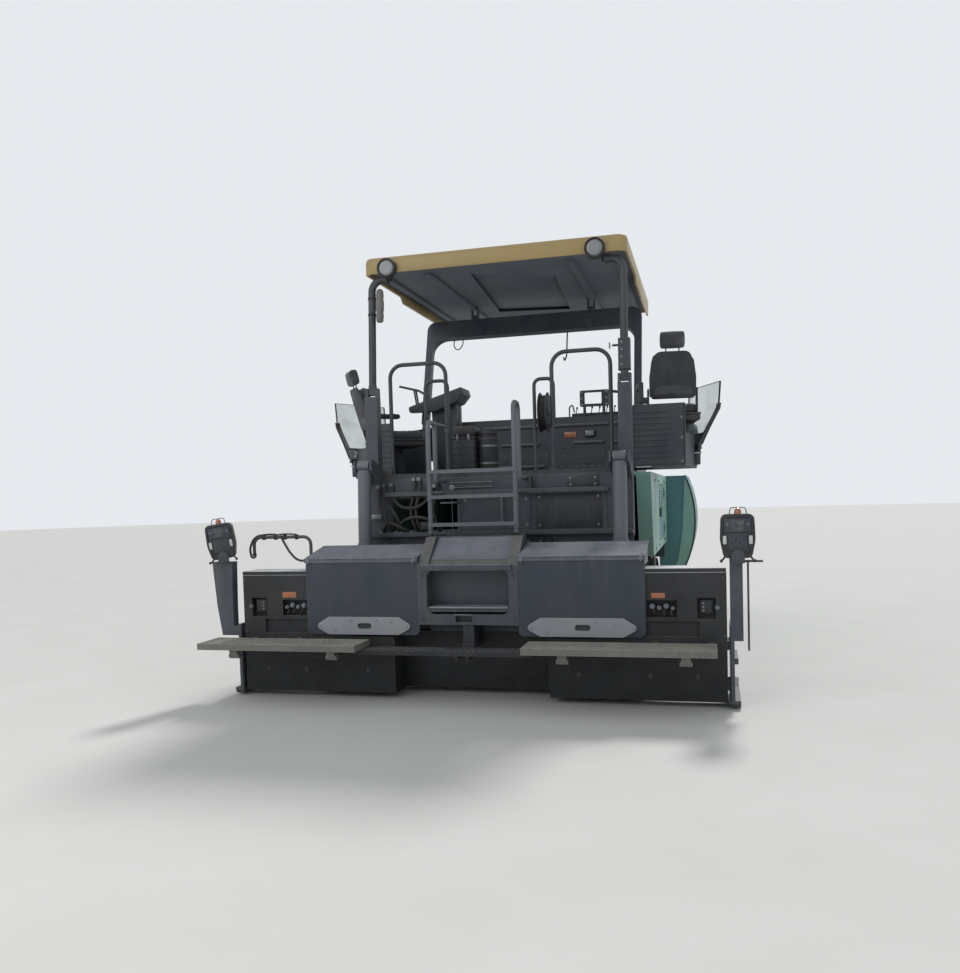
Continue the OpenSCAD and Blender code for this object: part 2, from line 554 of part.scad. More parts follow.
// extension: low beam with sole, upper box with its lip, recesses and board arms
module extension(arms) {
  difference() {
    union() {
      side_cut(ext_end - 1235, ext_end, [[ext_y0, sole + 6], [ext_y0 + 10, sole], [ext_y1 - 40, sole], [ext_y1, sole + 40], [ext_y1, 470], [ext_y0, 470]]);
      box(ext_end - 905, ext_end, ext_y0, ext_y1, 470, 940);
      box(ext_end - 905, ext_end - 2, ext_y0 - 6, ext_y1, 940, ext_top);
    }
    box(ext_end - 540, ext_end - 330, ext_y0 - 8, ext_y0 + 70, 625, 748);
    box(ext_end - 200, ext_end - 70, ext_y0 - 8, ext_y0 + 60, 615, 765);
    box(ext_end - 560, ext_end - 180, ext_y0 - 8, ext_y0 + 25, 492, 600);
  }
  // slider on the main beam and arms that carry the board
  box(ext_end - 1235, ext_end - 1100, ext_y1, main_y0 - gap, 200, 400);
  for (x = arms) box(x, x + 40, fold_y + 6 + gap, ext_y0 + 10, fold_z - 22, fold_z + 10);
}
module extension_left() color("#46484E") mirror([1, 0, 0]) extension([for (x = arms_l) -x - 40]);
module extension_right() color("#46484E") extension(arms_r);

// end plate with its runner, post and the arm of the control box
gate_x = ext_end + 22;
module gate_plate(x) color("#55585C") {
  side_cut(x, x + 24, [[face_y, 60], [face_y, 560], [face_y + 420, 560], [face_y + 560, 400], [face_y + 560, 120], [face_y + 500, 60]]);
  side_cut(x - 8, x + 62, [[face_y - 10, 40], [face_y + 10, 14], [face_y + 470, 14], [face_y + 570, 90], [face_y + 570, 110], [face_y + 460, 62], [face_y - 10, 62]]);
  box(x + 24, x + 50, face_y + 60, face_y + 420, 300, 340);
  for (z = [120, 400]) box(ext_end + gap, x, ext_y0 + 30, ext_y1 - 30, z, z + 60);
}
module gate_left() color("#55585C") {
  mirror([1, 0, 0]) gate_plate(gate_x);
  translate([-gate_x, 0, 0]) cross_cut(face_y, face_y + 76, [[-62, 540], [-62, 700], [-54, 1046], [-228, 1046], [-198, 700], [-162, 470], [-24, 470], [-24, 540]]);
  along_z(-gate_x - 143, face_y + 30, 1040, 1063.4, 22);
}
module gate_right() color("#55585C") {
  gate_plate(gate_x);
  box(gate_x, gate_x + 84, face_y, face_y + 76, 470, 1046);
  along_z(gate_x + 58, face_y + 30, 1040, 1056 - gap, 22);
  // hanging feeler rod on its bracket
  rod([gate_x + 78, face_y + 40, 1010], [gate_x + 218, face_y + 40, 1010], 8);
  along_z(gate_x + 120, face_y + 40, 400, 1018, 7);
}
module control_box() {
  translate([-112, -60, 0]) rotate([90, 0, 90]) linear_extrude(224) polygon([[0, 20], [0, 290], [20, 305], [100, 305], [115, 280], [115, 0], [20, 0]]);
  along_z(0, -10, 300, 322, 40);
}
module control_box_right() color("#2F3238") translate([gate_x + 66, face_y + 24, 1056]) control_box();
module control_box_left() color("#2F3238") translate([-gate_x - 134, face_y + 30, 1068]) rotate([0, -8, 22]) scale(0.93) control_box();

board_l = [-ext_end - 202, -mid_half - 384];
board_r = [mid_half + 76, ext_end - 68];
board_t = 46;
// left edges of the arms and hinge lugs that carry the boards
arms_l = [board_l[0] + 292, board_l[0] + 662];
lug_in = 230;
arms_r = [board_r[1] - 432, board_r[1] - 62];
fold_y = face_y - 28;
fold_z = board_z - 6;
module board(b, arms) color("#77786F") {
  y0 = face_y - 12 - board_d;
  y1 = face_y - 34;
  box(b[0], b[1], y0, y1, board_z - 12, board_z);
  for (y = [y0, y1 - 12]) box(b[0], b[1], y, y + 12, board_z - board_t, board_z - 12);
  for (x = [b[0], b[1] - 12]) box(x, x + 12, y0, y1, board_z - board_t, board_z - 12);
  for (x = [b[0] + 250, b[1] - lug_in]) {
    box(x, x + 60, y0 + 30, y0 + 90, 370, board_z - 12);
    along_x(x - 10, x + 70, y0 + 60, 362, 20);
  }
  for (x = arms) {
    box(x, x + 40, y1, fold_y, fold_z - 6, board_z);
    along_x(x, x + 40, fold_y, fold_z, 6);
  }
}
module board_left() board(board_l, arms_l);
module board_right() board(board_r, arms_r);

// seat pod: floor, ribbed cover behind the seat, walls, leaning screen frame and the seat's base
module pod(p) color("#33373E") {
  ribs_out = min(p[0], pod_in + 350);
  translate([0, 0, pod_z]) linear_extrude(22)
    polygon([[pod_in - 260, pod_y0], [p[0], pod_y0], [pod_out, pod_rear], [pod_out, pod_y1], [pod_in - 260, pod_y1]]);
  box(pod_in + 30, p[0], pod_y0, pod_y0 + 60, pod_z + 20, p[1]);
  for (z = [1790 : 48 : p[1] - 40]) box(pod_in + 30, ribs_out, pod_y0 - 10, pod_y0 + 2, z, z + 22);
  translate([0, 0, pod_z + 20]) linear_extrude(1990 - pod_z - 20)
    polygon([[p[0] - 24, pod_y0 + 20], [p[0], pod_y0 + 20], [pod_out, pod_rear], [pod_out, pod_rear + 22], [pod_out - 24, pod_rear + 22]]);
  cross_cut(pod_rear, pod_y1, [[pod_out - 22, pod_z + 8], [pod_out + 4, pod_z], [pod_out + 45, 1840], [pod_out + 45, 1900], [pod_out + 18, 1900], [pod_out + 20, 1845]]);
  box(p[2] - 105, p[2] + 105, seat_y - 105, seat_y + 105, pod_z + 20, p[3]);
  translate([screen_x, seat_y, 0]) rotate([0, 0, screen_turn]) {
    cross_cut(-30, 520, [[-10, pod_z + 20], [20, pod_z + 20], [20, 1900], [77, sill_z], [47, sill_z], [-10, 1900]]);
    for (y = [-60, 600]) cross_cut(y, y + 40, [[-10, 1860], [20, 1860], [20, 1900], [200, 2215], [206, bend_z], [180, bend_z], [176, 2225], [-10, 1900]]);
    cross_cut(-60, 640, [[20, 1953], [47, sill_z], [77, sill_z], [50, 1953]]);
  }
}
module pod_glass() color("#B7D3C4") translate([screen_x, seat_y, 0]) rotate([0, 0, screen_turn]) {
  cross_cut(-20 + gap, 600 - gap, [[57, sill_z + gap], [71, sill_z + gap], [198, 2222], [200, bend_z + 2], [186, bend_z + 2], [184, 2228]]);
  cross_cut(-50, 630, [[184, bend_z + gap], [198, bend_z + gap], [214, 2452], [200, 2452]]);
}
module pod_left() mirror([1, 0, 0]) pod(pods[0]);
module pod_right() pod(pods[1]);
module glass_left() mirror([1, 0, 0]) pod_glass();
module glass_right() pod_glass();

// seat about its own swivel axis: base, cushion, back and head rest on their side arms, arm rests
// the one arm rest is on the operator's left
module seat(base, lean) color("#4A4C52") translate([0, 0, base]) {
  along_z(0, 0, gap, 50, 120);
  translate([-235, -190, 48]) cube([470, 470, 50]);
  translate([-245, -200, 96]) cube([490, 500, 110]);
  translate([0, -150, 140]) rotate([lean, 0, 0]) translate([0, 150, -140]) {
    translate([-200, 0, 0]) rotate([90, 0, 90]) linear_extrude(400)
      polygon([[-100, 232], [-150, 612], [-175, 640], [-245, 640], [-270, 615], [-232, 232]]);
    for (x = [-214, 200]) translate([x, 0, 0]) rotate([90, 0, 90]) linear_extrude(14)
      polygon([[-190, 70], [-110, 70], [-130, 330], [-210, 330]]);
    translate([-112, 0, 0]) rotate([90, 0, 90]) linear_extrude(224)
      polygon([[-285, 656], [-290, 800], [-262, 816], [-212, 816], [-188, 796], [-185, 664], [-200, 652]]);
    for (x = [-60, 50]) translate([x, 0, 0]) rotate([90, 0, 90]) linear_extrude(10) polygon([[-240, 630], [-225, 630], [-225, 670], [-240, 670]]);
  }
  translate([-290, -150, 345]) cube([45, 330, 55]);
  translate([-290, -200, 200]) cube([45, 60, 200]);
  translate([-250, -200, 200]) cube([45, 30, 60]);
}
module seat_left() translate([-pods[0][2], seat_y, 0]) rotate([0, 0, -55]) seat(pods[0][3], 11);
module seat_right() translate([pods[1][2], seat_y, 0]) rotate([0, 0, 8]) seat(pods[1][3], 0);

// driver's console: column and a long desk that tilts towards the left seat, with its hand rail
desk_y = [hood_y - 360, hood_y - 40];
// rear face of the portal's left leg where the desk passes it
leg_y = -350;
module console() color("#2F3238") {
  box(-890, -710, hood_y - 190, hood_y - 80, deck_z + 6, 2440);
  difference() {
    cross_cut(desk_y[0], desk_y[1], [[-1195, 2415], [-640, 2588], [-622, 2520], [-690, 2440], [-905, 2360], [-1185, 2358]]);
    box(-1300, -hood_half + 45, leg_y, 0, 2300, 2700);
  }
  pair_y(desk_y[0] + 12, leg_y - 34) cross_cut(0, 22, [[-1120, 2422], [-1096, 2430], [-1120, 2600], [-1144, 2600]]);
  box(-1144, -1120, desk_y[0] + 12, leg_y - 12, 2576, 2600);
}
module pair_y(a, b) { translate([0, a, 0]) children(); translate([0, b, 0]) children(); }

// canopy: leaning front portal, roof shell and rear posts
module front_portal() color("#3E4550") translate([0, portal_low[0], portal_low[1]]) rotate([-portal_a, 0, 0]) {
  union() {
    translate([0, 35, 0]) rotate([90, 0, 0]) linear_extrude(70) difference() {
      union() {
        translate([-hood_half - 70, 60]) rounded(2 * hood_half + 140, portal_len - 105, 90);
        translate([-hood_half - 70, 45]) square([70, 300]);
        translate([hood_half, 45]) square([70, 300]);
      }
      translate([-hood_half, -300]) rounded(2 * hood_half, 300 + portal_len - 240, 150);
    }
  }
  pair() difference() {
    union() { box(hood_half + 6, hood_half + 26, -30, 30, 0, 60); translate([hood_half + 6, 0, 0]) rotate([0, 90, 0]) cylinder(r = 30, h = 20); }
    translate([hood_half, 0, 0]) rotate([0, 90, 0]) cylinder(r = 16.05, h = 90);
  }
  pair() for (x = [600]) translate([x - 30, 0, portal_len]) rotate([0, 90, 0]) cylinder(r = 14, h = 60);
  pair() box(590, 610, -20, 20, portal_len - 70, portal_len);
}
module roof() {
  color("#B89A4E") difference() {
    union() {
      translate([-roof_half, roof_rear, roof_z]) linear_extrude(roof_h) rounded(2 * roof_half, roof_front - roof_rear, 70);
      pair() side_cut(roof_half - 22, roof_half - 2, [[roof_rear + 900, roof_z + 20], [roof_rear + 980, roof_z - 50], [roof_front - 80, roof_z - 50], [roof_front - 80, roof_z + 20]]);
    }
    translate([-roof_half + 22, roof_rear + 22, roof_z - 1]) linear_extrude(roof_h - 29) rounded(2 * roof_half - 44, roof_front - roof_rear - 44, 50);
  }
  // underside panel and cross ribs
  color("#2F3238") {
    box(-roof_half + 22, roof_half - 22, roof_rear + 60, roof_front - 60, roof_z + 30, roof_z + 45);
    pair() box(roof_half - 200, roof_half - 100, roof_rear + 200, roof_front - 90, roof_z - 10, roof_z + 30);
  }
  for (x = [-898, 862]) along_y(x, roof_rear - 46, roof_rear + 24, roof_z + 38, 58);
  pair() for (x = [562, 622]) difference() {
    box(x, x + 16, portal_top[0] - 26, portal_top[0] + 26, portal_top[1] - 26, roof_z + 32);
    along_x(x - 1, x + 17, portal_top[0], portal_top[1], 14.05);
  }
  // lugs and pins over the rear posts
  pair() box(post_x - 174, post_x - 160, rear_top[0] - 24, rear_top[0] + 24, rear_top[1] - 24, roof_z + 32);
  pair() along_x(post_x - 174, post_x - 118, rear_top[0], rear_top[1], 10);
}
roof_h = 140;
rear_a = atan2(rear_top[0] - rear_low[0], rear_top[1] - rear_low[1]);
rear_len = norm(rear_top - rear_low);
module rear_posts() color("#3E4550") translate([0, rear_low[0], rear_low[1]]) rotate([-rear_a, 0, 0]) {
  difference() {
    union() {
      pair() tube_across(0, [[post_x, 20], [post_x, rear_len], [post_x - 140, rear_len]], 32, 100);
      // clevis tongue at the fold and the eye at the roof
      pair() box(post_x - 28, post_x + 28, -26, 26, -26, 60);
      pair() translate([post_x - 150, 0, rear_len]) rotate([0, 90, 0]) cylinder(r = 38, h = 44);
      // clamp with its ring pin on the right post
      box(post_x - 46, post_x + 48, -40, 40, 60, 310);
      rod([post_x - 92, 0, 262], [post_x - 46, 0, 262], 9);
    }
    pair() translate([post_x - 60, 0, 0]) rotate([0, 90, 0]) cylinder(r = 14.05, h = 120);
    pair() translate([post_x - 160, 0, rear_len]) rotate([0, 90, 0]) cylinder(r = 22, h = 48);
  }
}

chassis();
tie_down_lugs();
engine_frame();
rear_wall();
auger_hanger();
engine();
hood();
side_panels();
deck();
ladder();
air_filter();
handrails();
track_left();
track_right();
track_frames();
conveyor();
hopper_base();
door_left();
door_right();
wing_left();
wing_right();
apron();
push_beam();
push_roller_left();
push_roller_right();
auger_left();
auger_right();
screed_frame();
tow_arms();
covers();
steps();
lid_left();
lid_right();
grating();
lift_barrels();
lift_rods();
extension_left();
extension_right();
gate_left();
gate_right();
control_box_left();
control_box_right();
board_left();
board_right();
pod_left();
pod_right();
glass_left();
glass_right();
seat_left();
seat_right();
console();
front_portal();
roof();
rear_posts();
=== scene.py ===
# Finishes and fittings of a tracked road paver, set on its solid frame. Sizes are in metres.
import math
from itertools import product

import bmesh
import bpy
from mathutils import Matrix, Vector


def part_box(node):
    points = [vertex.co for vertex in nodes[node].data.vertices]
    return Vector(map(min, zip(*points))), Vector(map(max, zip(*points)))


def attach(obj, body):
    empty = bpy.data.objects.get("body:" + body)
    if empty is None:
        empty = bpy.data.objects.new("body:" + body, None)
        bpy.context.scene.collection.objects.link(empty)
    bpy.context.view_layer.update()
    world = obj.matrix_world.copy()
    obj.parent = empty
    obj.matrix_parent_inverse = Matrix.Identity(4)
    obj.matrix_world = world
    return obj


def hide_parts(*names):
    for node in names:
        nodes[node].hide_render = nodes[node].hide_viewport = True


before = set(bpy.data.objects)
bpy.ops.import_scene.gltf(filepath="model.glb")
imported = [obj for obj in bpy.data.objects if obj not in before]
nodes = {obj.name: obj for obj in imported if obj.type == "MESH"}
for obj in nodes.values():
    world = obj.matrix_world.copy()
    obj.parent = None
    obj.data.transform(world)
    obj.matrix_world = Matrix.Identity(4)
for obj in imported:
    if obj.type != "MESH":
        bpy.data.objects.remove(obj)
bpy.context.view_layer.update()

SIDES = ("left", "right")
REARWARD = (0, -1, 0)
OUTWARD = (1, 0, 0)
UPWARD = (0, 0, 1)

# Camera, floor and light

# The photograph's width, middle row, focal length and the row of its level centre, in its pixels
PHOTO_WIDTH, MIDDLE_ROW, FOCAL, CENTRE_ROW = 960.0, 486.5, 891.08, 540.0
CAMERA_AT = (1.723, -8.985, 1.493)
CAMERA_TURN, CAMERA_TILT, CAMERA_ROLL = math.radians(14.549), math.radians(2.741), math.radians(-1.66)
SENSOR = 36.0


def aim_camera():
    """Camera at the photograph's height, turn and tilt, from measured points of the machine."""
    level = math.cos(CAMERA_TILT)
    ahead = Vector((-math.sin(CAMERA_TURN) * level, math.cos(CAMERA_TURN) * level, -math.sin(CAMERA_TILT)))
    side = Vector((math.cos(CAMERA_TURN), math.sin(CAMERA_TURN), 0.0))
    above = side.cross(ahead)
    right = math.cos(CAMERA_ROLL) * side + math.sin(CAMERA_ROLL) * above
    upward = -math.sin(CAMERA_ROLL) * side + math.cos(CAMERA_ROLL) * above
    data = bpy.data.cameras.new("view")
    data.sensor_fit = "HORIZONTAL"
    data.sensor_width = SENSOR
    data.lens = FOCAL * SENSOR / PHOTO_WIDTH
    data.shift_y = (CENTRE_ROW - MIDDLE_ROW) / PHOTO_WIDTH
    data.clip_end = 200.0
    camera = bpy.data.objects.new("view", data)
    turn = Matrix((right, upward, -ahead)).transposed().to_4x4()
    camera.matrix_world = Matrix.Translation(CAMERA_AT) @ turn
    bpy.context.scene.collection.objects.link(camera)
    bpy.context.scene.camera = camera


def linear(code):
    """Colour written as sRGB hex, as the shaders want it."""
    parts = [int(code[i:i + 2], 16) / 255 for i in (1, 3, 5)]
    return [p / 12.92 if p <= 0.04045 else ((p + 0.055) / 1.055) ** 2.4 for p in parts] + [1.0]


def add_node(tree, kind, inputs, **settings):
    """One shader node; each input is a value, a socket, or a node whose first output it takes."""
    made = tree.nodes.new("ShaderNode" + kind)
    for key, value in settings.items():
        setattr(made, key, value)
    for key, value in inputs.items():
        if isinstance(value, bpy.types.Node):
            value = next(out for out in value.outputs if out.enabled)
        if isinstance(value, bpy.types.NodeSocket):
            tree.links.new(value, made.inputs[key])
        else:
            made.inputs[key].default_value = value
    return made


def open_finish(name):
    """A new material, its empty tree and the coordinates of the surface."""
    finish = bpy.data.materials.new(name)
    finish.use_nodes = True
    tree = finish.node_tree
    tree.nodes.clear()
    return finish, tree, add_node(tree, "TexCoord", {})


def close_finish(tree, inputs):
    """The surface shader with these inputs, joined to the material's output."""
    add_node(tree, "OutputMaterial", {"Surface": add_node(tree, "BsdfPrincipled", inputs)})


def set_light():
    """Even light all round, with a soft sun from behind on the right and a wide fill from the left."""
    scene = bpy.context.scene
    scene.view_settings.view_transform = "Standard"
    world = bpy.data.worlds.new("sky")
    world.use_nodes = True
    scene.world = world
    tree = world.node_tree
    tree.nodes.clear()
    ray = add_node(tree, "LightPath", {})
    seen = add_node(tree, "Math", {0: ray.outputs["Is Camera Ray"], 1: ray.outputs["Is Glossy Ray"]},
                    operation="MAXIMUM")
    through = add_node(tree, "Math", {0: seen, 1: ray.outputs["Is Transmission Ray"]}, operation="MAXIMUM")
    strength = add_node(tree, "MapRange", {"Value": through, "To Min": 0.62, "To Max": 1.0})
    sky = add_node(tree, "Background", {"Color": linear("#E6EAEE"), "Strength": strength})
    add_node(tree, "OutputWorld", {"Surface": sky})
    data = bpy.data.lights.new("sun", "SUN")
    data.energy = 2.1
    data.angle = math.radians(9)
    sun = bpy.data.objects.new("sun", data)
    sun.rotation_euler = Vector((-0.16, -0.92, -1.00)).to_track_quat("-Z", "Y").to_euler()
    scene.collection.objects.link(sun)
    data = bpy.data.lights.new("front fill", "AREA")
    data.shape = "DISK"
    data.size = 6.0
    data.energy = 140.0
    fill = bpy.data.objects.new("front fill", data)
    fill.location = (-4.5, -9.0, 6.0)
    fill.rotation_euler = (Vector((0.0, -1.0, 1.2)) - fill.location).to_track_quat("-Z", "Y").to_euler()
    scene.collection.objects.link(fill)


def lay_floor():
    """Plain pale floor that keeps the machine's shadow."""
    part = bmesh.new()
    bmesh.ops.create_circle(part, cap_ends=True, segments=96, radius=70.0)
    mesh = bpy.data.meshes.new("floor")
    part.to_mesh(mesh)
    part.free()
    floor = bpy.data.objects.new("floor", mesh)
    bpy.context.scene.collection.objects.link(floor)
    finish, tree, place = open_finish("pale concrete")
    spots = add_node(tree, "TexNoise", {"Vector": place.outputs["Object"], "Scale": patches(714),
                                        "Detail": 5.0})
    tone = add_node(tree, "Mix", {"Factor": spots, "A": linear("#C9C8C4"), "B": linear("#D3D2CF")},
                    data_type="RGBA")
    close_finish(tree, {"Base Color": tone, "Roughness": 0.85})
    mesh.materials.append(finish)


# Finishes

DUST = "#8B867D"


def patches(mm):
    """Scale of a noise whose patches are this many millimetres across."""
    return 1000.0 / mm


def ribs(mm):
    """Scale of a wave that repeats every so many millimetres."""
    return 100.0 * math.pi / mm


def weathered(name, colour, shade, dust=DUST, lies=0.6, runs=0.25, rough=0.5, metal=0.0, rubbed=None,
              rubbed_mm=4.0, grain_mm=2.38, relief=0.12, tar=None, tar_low=0.0, tar_high=0.6):
    """Kept out of doors: colour shifts over half a metre, dust lies on what faces up and runs down the
    sides, edges are rubbed to the bare material, and tar darkens what is low."""
    finish, tree, place = open_finish(name)
    where = place.outputs["Object"]
    broad = add_node(tree, "TexNoise", {"Vector": where, "Scale": patches(588), "Detail": 5.0,
                                        "Roughness": 0.55})
    shift = add_node(tree, "MapRange", {"Value": broad, "From Min": 0.3, "From Max": 0.7})
    tone = add_node(tree, "Mix", {"Factor": shift, "A": linear(shade), "B": linear(colour)}, data_type="RGBA")
    # dust lying in patches of 143 mm on what faces up
    facing = add_node(tree, "SeparateXYZ", {"Vector": place.outputs["Normal"]}).outputs["Z"]
    level = add_node(tree, "MapRange", {"Value": facing, "From Min": 0.25, "From Max": 0.9})
    spots = add_node(tree, "TexNoise", {"Vector": where, "Scale": patches(143), "Detail": 7.0,
                                        "Roughness": 0.65})
    patch = add_node(tree, "MapRange", {"Value": spots, "From Min": 0.32, "From Max": 0.68, "To Min": 0.25})
    lying = add_node(tree, "Math", {0: level, 1: patch}, operation="MULTIPLY")
    lying = add_node(tree, "Math", {0: lying, 1: lies}, operation="MULTIPLY")
    # runs 111 mm wide and 1.1 m long down the sides
    drawn = add_node(tree, "Mapping", {"Vector": where, "Scale": (patches(111), patches(111), patches(1111))})
    streaks = add_node(tree, "TexNoise", {"Vector": drawn, "Scale": 1.0, "Detail": 6.0, "Roughness": 0.7})
    down = add_node(tree, "MapRange", {"Value": streaks, "From Min": 0.5, "From Max": 0.78, "To Max": runs})
    cloud = add_node(tree, "TexNoise", {"Vector": where, "Scale": patches(323), "Detail": 6.0,
                                        "Roughness": 0.55})
    thin = add_node(tree, "MapRange", {"Value": cloud, "From Min": 0.4, "From Max": 0.75,
                                       "To Max": runs * 0.7})
    soiled = add_node(tree, "Math", {0: lying, 1: thin}, operation="ADD")
    soiled = add_node(tree, "Math", {0: soiled, 1: down}, operation="MAXIMUM")
    tone = add_node(tree, "Mix", {"Factor": soiled, "A": tone, "B": linear(dust)}, data_type="RGBA")
    if tar:
        # a ragged edge, 200 mm up or down
        height = add_node(tree, "SeparateXYZ", {"Vector": where}).outputs["Z"]
        edge = add_node(tree, "TexNoise", {"Vector": where, "Scale": patches(200), "Detail": 6.0,
                                           "Roughness": 0.55})
        uneven = add_node(tree, "MapRange", {"Value": edge, "From Min": 0.3, "From Max": 0.7, "To Min": -0.2,
                                             "To Max": 0.2})
        ragged = add_node(tree, "Math", {0: height, 1: uneven}, operation="ADD")
        caked = add_node(tree, "MapRange", {"Value": ragged, "From Min": tar_low, "From Max": tar_high,
                                            "To Min": 0.9, "To Max": 0.0})
        tone = add_node(tree, "Mix", {"Factor": caked, "A": tone, "B": linear(tar)}, data_type="RGBA")
    if rubbed:
        rounded = add_node(tree, "Bevel", {"Radius": rubbed_mm / 1000.0}, samples=4)
        flat = add_node(tree, "NewGeometry", {}).outputs["Normal"]
        agree = add_node(tree, "VectorMath", {0: rounded, 1: flat}, operation="DOT_PRODUCT")
        edge = add_node(tree, "MapRange", {"Value": agree, "From Min": 0.99, "From Max": 0.9})
        chips = add_node(tree, "TexNoise", {"Vector": where, "Scale": patches(43.5), "Detail": 6.0,
                                            "Roughness": 0.7})
        left = add_node(tree, "MapRange", {"Value": chips, "From Min": 0.42, "From Max": 0.6, "To Max": 0.85})
        worn = add_node(tree, "Math", {0: edge, 1: left}, operation="MULTIPLY")
        tone = add_node(tree, "Mix", {"Factor": worn, "A": tone, "B": linear(rubbed)}, data_type="RGBA")
    duller = add_node(tree, "MapRange", {"Value": soiled, "From Max": 0.6, "To Min": rough,
                                         "To Max": min(1.0, rough + 0.35)})
    # the surface's own grain, and lumps 14 times as wide
    grain = add_node(tree, "TexNoise", {"Vector": where, "Scale": patches(grain_mm), "Detail": 3.0,
                                        "Roughness": 0.55})
    lumps = add_node(tree, "TexNoise", {"Vector": where, "Scale": patches(grain_mm * 14), "Detail": 4.0,
                                        "Roughness": 0.55})
    fine = add_node(tree, "Math", {0: grain, 1: 0.35}, operation="MULTIPLY")
    height = add_node(tree, "Math", {0: fine, 1: lumps}, operation="ADD")
    bump = add_node(tree, "Bump", {"Height": height, "Strength": relief, "Distance": 0.002})
    close_finish(tree, {"Base Color": tone, "Roughness": duller, "Metallic": metal, "Normal": bump})
    return finish


def woven(name, colour, shade, dust):
    """Coarse cloth: ribs both ways catch the light, and dust sits in worn patches."""
    finish, tree, place = open_finish(name)
    where = place.outputs["Object"]
    # the real ribs are about 1 mm apart, too fine to show, so they are drawn 3.3 mm apart
    weft, warp = [add_node(tree, "TexWave", {"Vector": where, "Scale": ribs(3.307), "Distortion": 0.4},
                           wave_type="BANDS", bands_direction=way).outputs["Fac"]
                  for way in ("Z", "DIAGONAL")]
    weave = add_node(tree, "Math", {0: weft, 1: warp}, operation="MULTIPLY")
    base = add_node(tree, "Mix", {"Factor": weave, "A": linear(shade), "B": linear(colour)}, data_type="RGBA")
    cloud = add_node(tree, "TexNoise", {"Vector": where, "Scale": patches(200), "Detail": 6.0,
                                        "Roughness": 0.65})
    worn = add_node(tree, "MapRange", {"Value": cloud, "From Min": 0.4, "From Max": 0.75, "To Max": 0.45})
    tone = add_node(tree, "Mix", {"Factor": worn, "A": base, "B": linear(dust)}, data_type="RGBA")
    bump = add_node(tree, "Bump", {"Height": weave, "Strength": 0.35, "Distance": 0.0015})
    close_finish(tree, {"Base Color": tone, "Roughness": 0.9, "Sheen Weight": 0.25, "Sheen Roughness": 0.5,
                        "Normal": bump})
    return finish


def dusty_glass(name, colour, film):
    """Tinted pane: clear where clean, milky and rougher where a film of dust holds, in 250 mm clouds."""
    finish, tree, place = open_finish(name)
    cloud = add_node(tree, "TexNoise", {"Vector": place.outputs["Object"], "Scale": patches(250),
                                        "Detail": 6.0, "Roughness": 0.55})
    milky = add_node(tree, "MapRange", {"Value": cloud, "From Min": 0.35, "From Max": 0.8})
    tone = add_node(tree, "Mix", {"Factor": milky, "A": linear(colour), "B": linear(film)}, data_type="RGBA")
    rough = add_node(tree, "MapRange", {"Value": milky, "To Min": 0.04, "To Max": 0.22})
    cover = add_node(tree, "MapRange", {"Value": milky, "To Min": 0.22, "To Max": 0.42})
    close_finish(tree, {"Base Color": tone, "Roughness": rough, "Alpha": cover, "IOR": 1.5})
    return finish


def ribbed_lens(name, colour, deep, rib_mm=2.417, rough=0.18):
    """Moulded acrylic: a hard clear gloss over fine upright ribs, with grime in 33 mm spots."""
    finish, tree, place = open_finish(name)
    where = place.outputs["Object"]
    rib = add_node(tree, "TexWave", {"Vector": where, "Scale": ribs(rib_mm), "Distortion": 0.0},
                   wave_type="BANDS", bands_direction="X").outputs["Fac"]
    base = add_node(tree, "Mix", {"Factor": rib, "A": linear(deep), "B": linear(colour)}, data_type="RGBA")
    spots = add_node(tree, "TexNoise", {"Vector": where, "Scale": patches(33.3), "Detail": 5.0,
                                        "Roughness": 0.55})
    grime = add_node(tree, "MapRange", {"Value": spots, "From Min": 0.4, "From Max": 0.8, "To Max": 0.5})
    tone = add_node(tree, "Mix", {"Factor": grime, "A": base, "B": linear(DUST)}, data_type="RGBA")
    bump = add_node(tree, "Bump", {"Height": rib, "Strength": 0.3, "Distance": 0.001})
    close_finish(tree, {"Base Color": tone, "Roughness": rough, "Coat Weight": 0.5, "Normal": bump})
    return finish


# Sprayed enamel on steel: a half gloss that dust dulls, an orange peel of 2.4 mm, and grey steel at
# rubbed edges
SLATE = weathered("slate enamel", "#414853", "#363C47", lies=0.75, rubbed="#8F949B", rough=0.42)
SHEET = weathered("slate enamel on sheet", "#424A56", "#383F4A", lies=0.5, runs=0.35, rough=0.4)
COVER = weathered("navy enamel", "#353D4A", "#2E3642", lies=0.5, runs=0.12, rubbed="#8F949B", rough=0.4)
DARK = weathered("dark enamel", "#35383F", "#2A2D33", lies=0.7, runs=0.3, rubbed="#7D8086", rough=0.5)
TEAL = weathered("teal enamel", "#57888C", "#4C7A80", lies=0.5, runs=0.35, rubbed="#9AA6A4", rough=0.42)
PALE_TEAL = weathered("pale teal enamel", "#8DBBAE", "#80AEA2", lies=0.5, runs=0.5, rough=0.4)
TUBE = weathered("grey enamel on tube", "#6C7079", "#5C6069", lies=0.5, runs=0.3, rubbed="#A6A9AE",
                 rough=0.42)
DARK_TUBE = weathered("dark enamel on tube", "#3C4048", "#30343B", lies=0.4, rubbed="#7E8288", rough=0.45)
# Trodden enamel: pale dust hides most of its gloss
LID = weathered("trodden enamel", "#5E636E", "#505560", dust="#8F9198", lies=0.8, runs=0.3, rubbed="#A3A6AA")
# Glass fibre gelcoat: smooth, soft gloss, sand coloured dust
GELCOAT = weathered("ochre gelcoat", "#AF9763", "#A38C5A", dust="#A49B86", runs=0.22, rough=0.38)
# Needled felt: dull, with a fine nap
FELT = weathered("felt lining", "#626A76", "#565D69", lies=0.2, runs=0.3, rough=0.75, grain_mm=1.43)
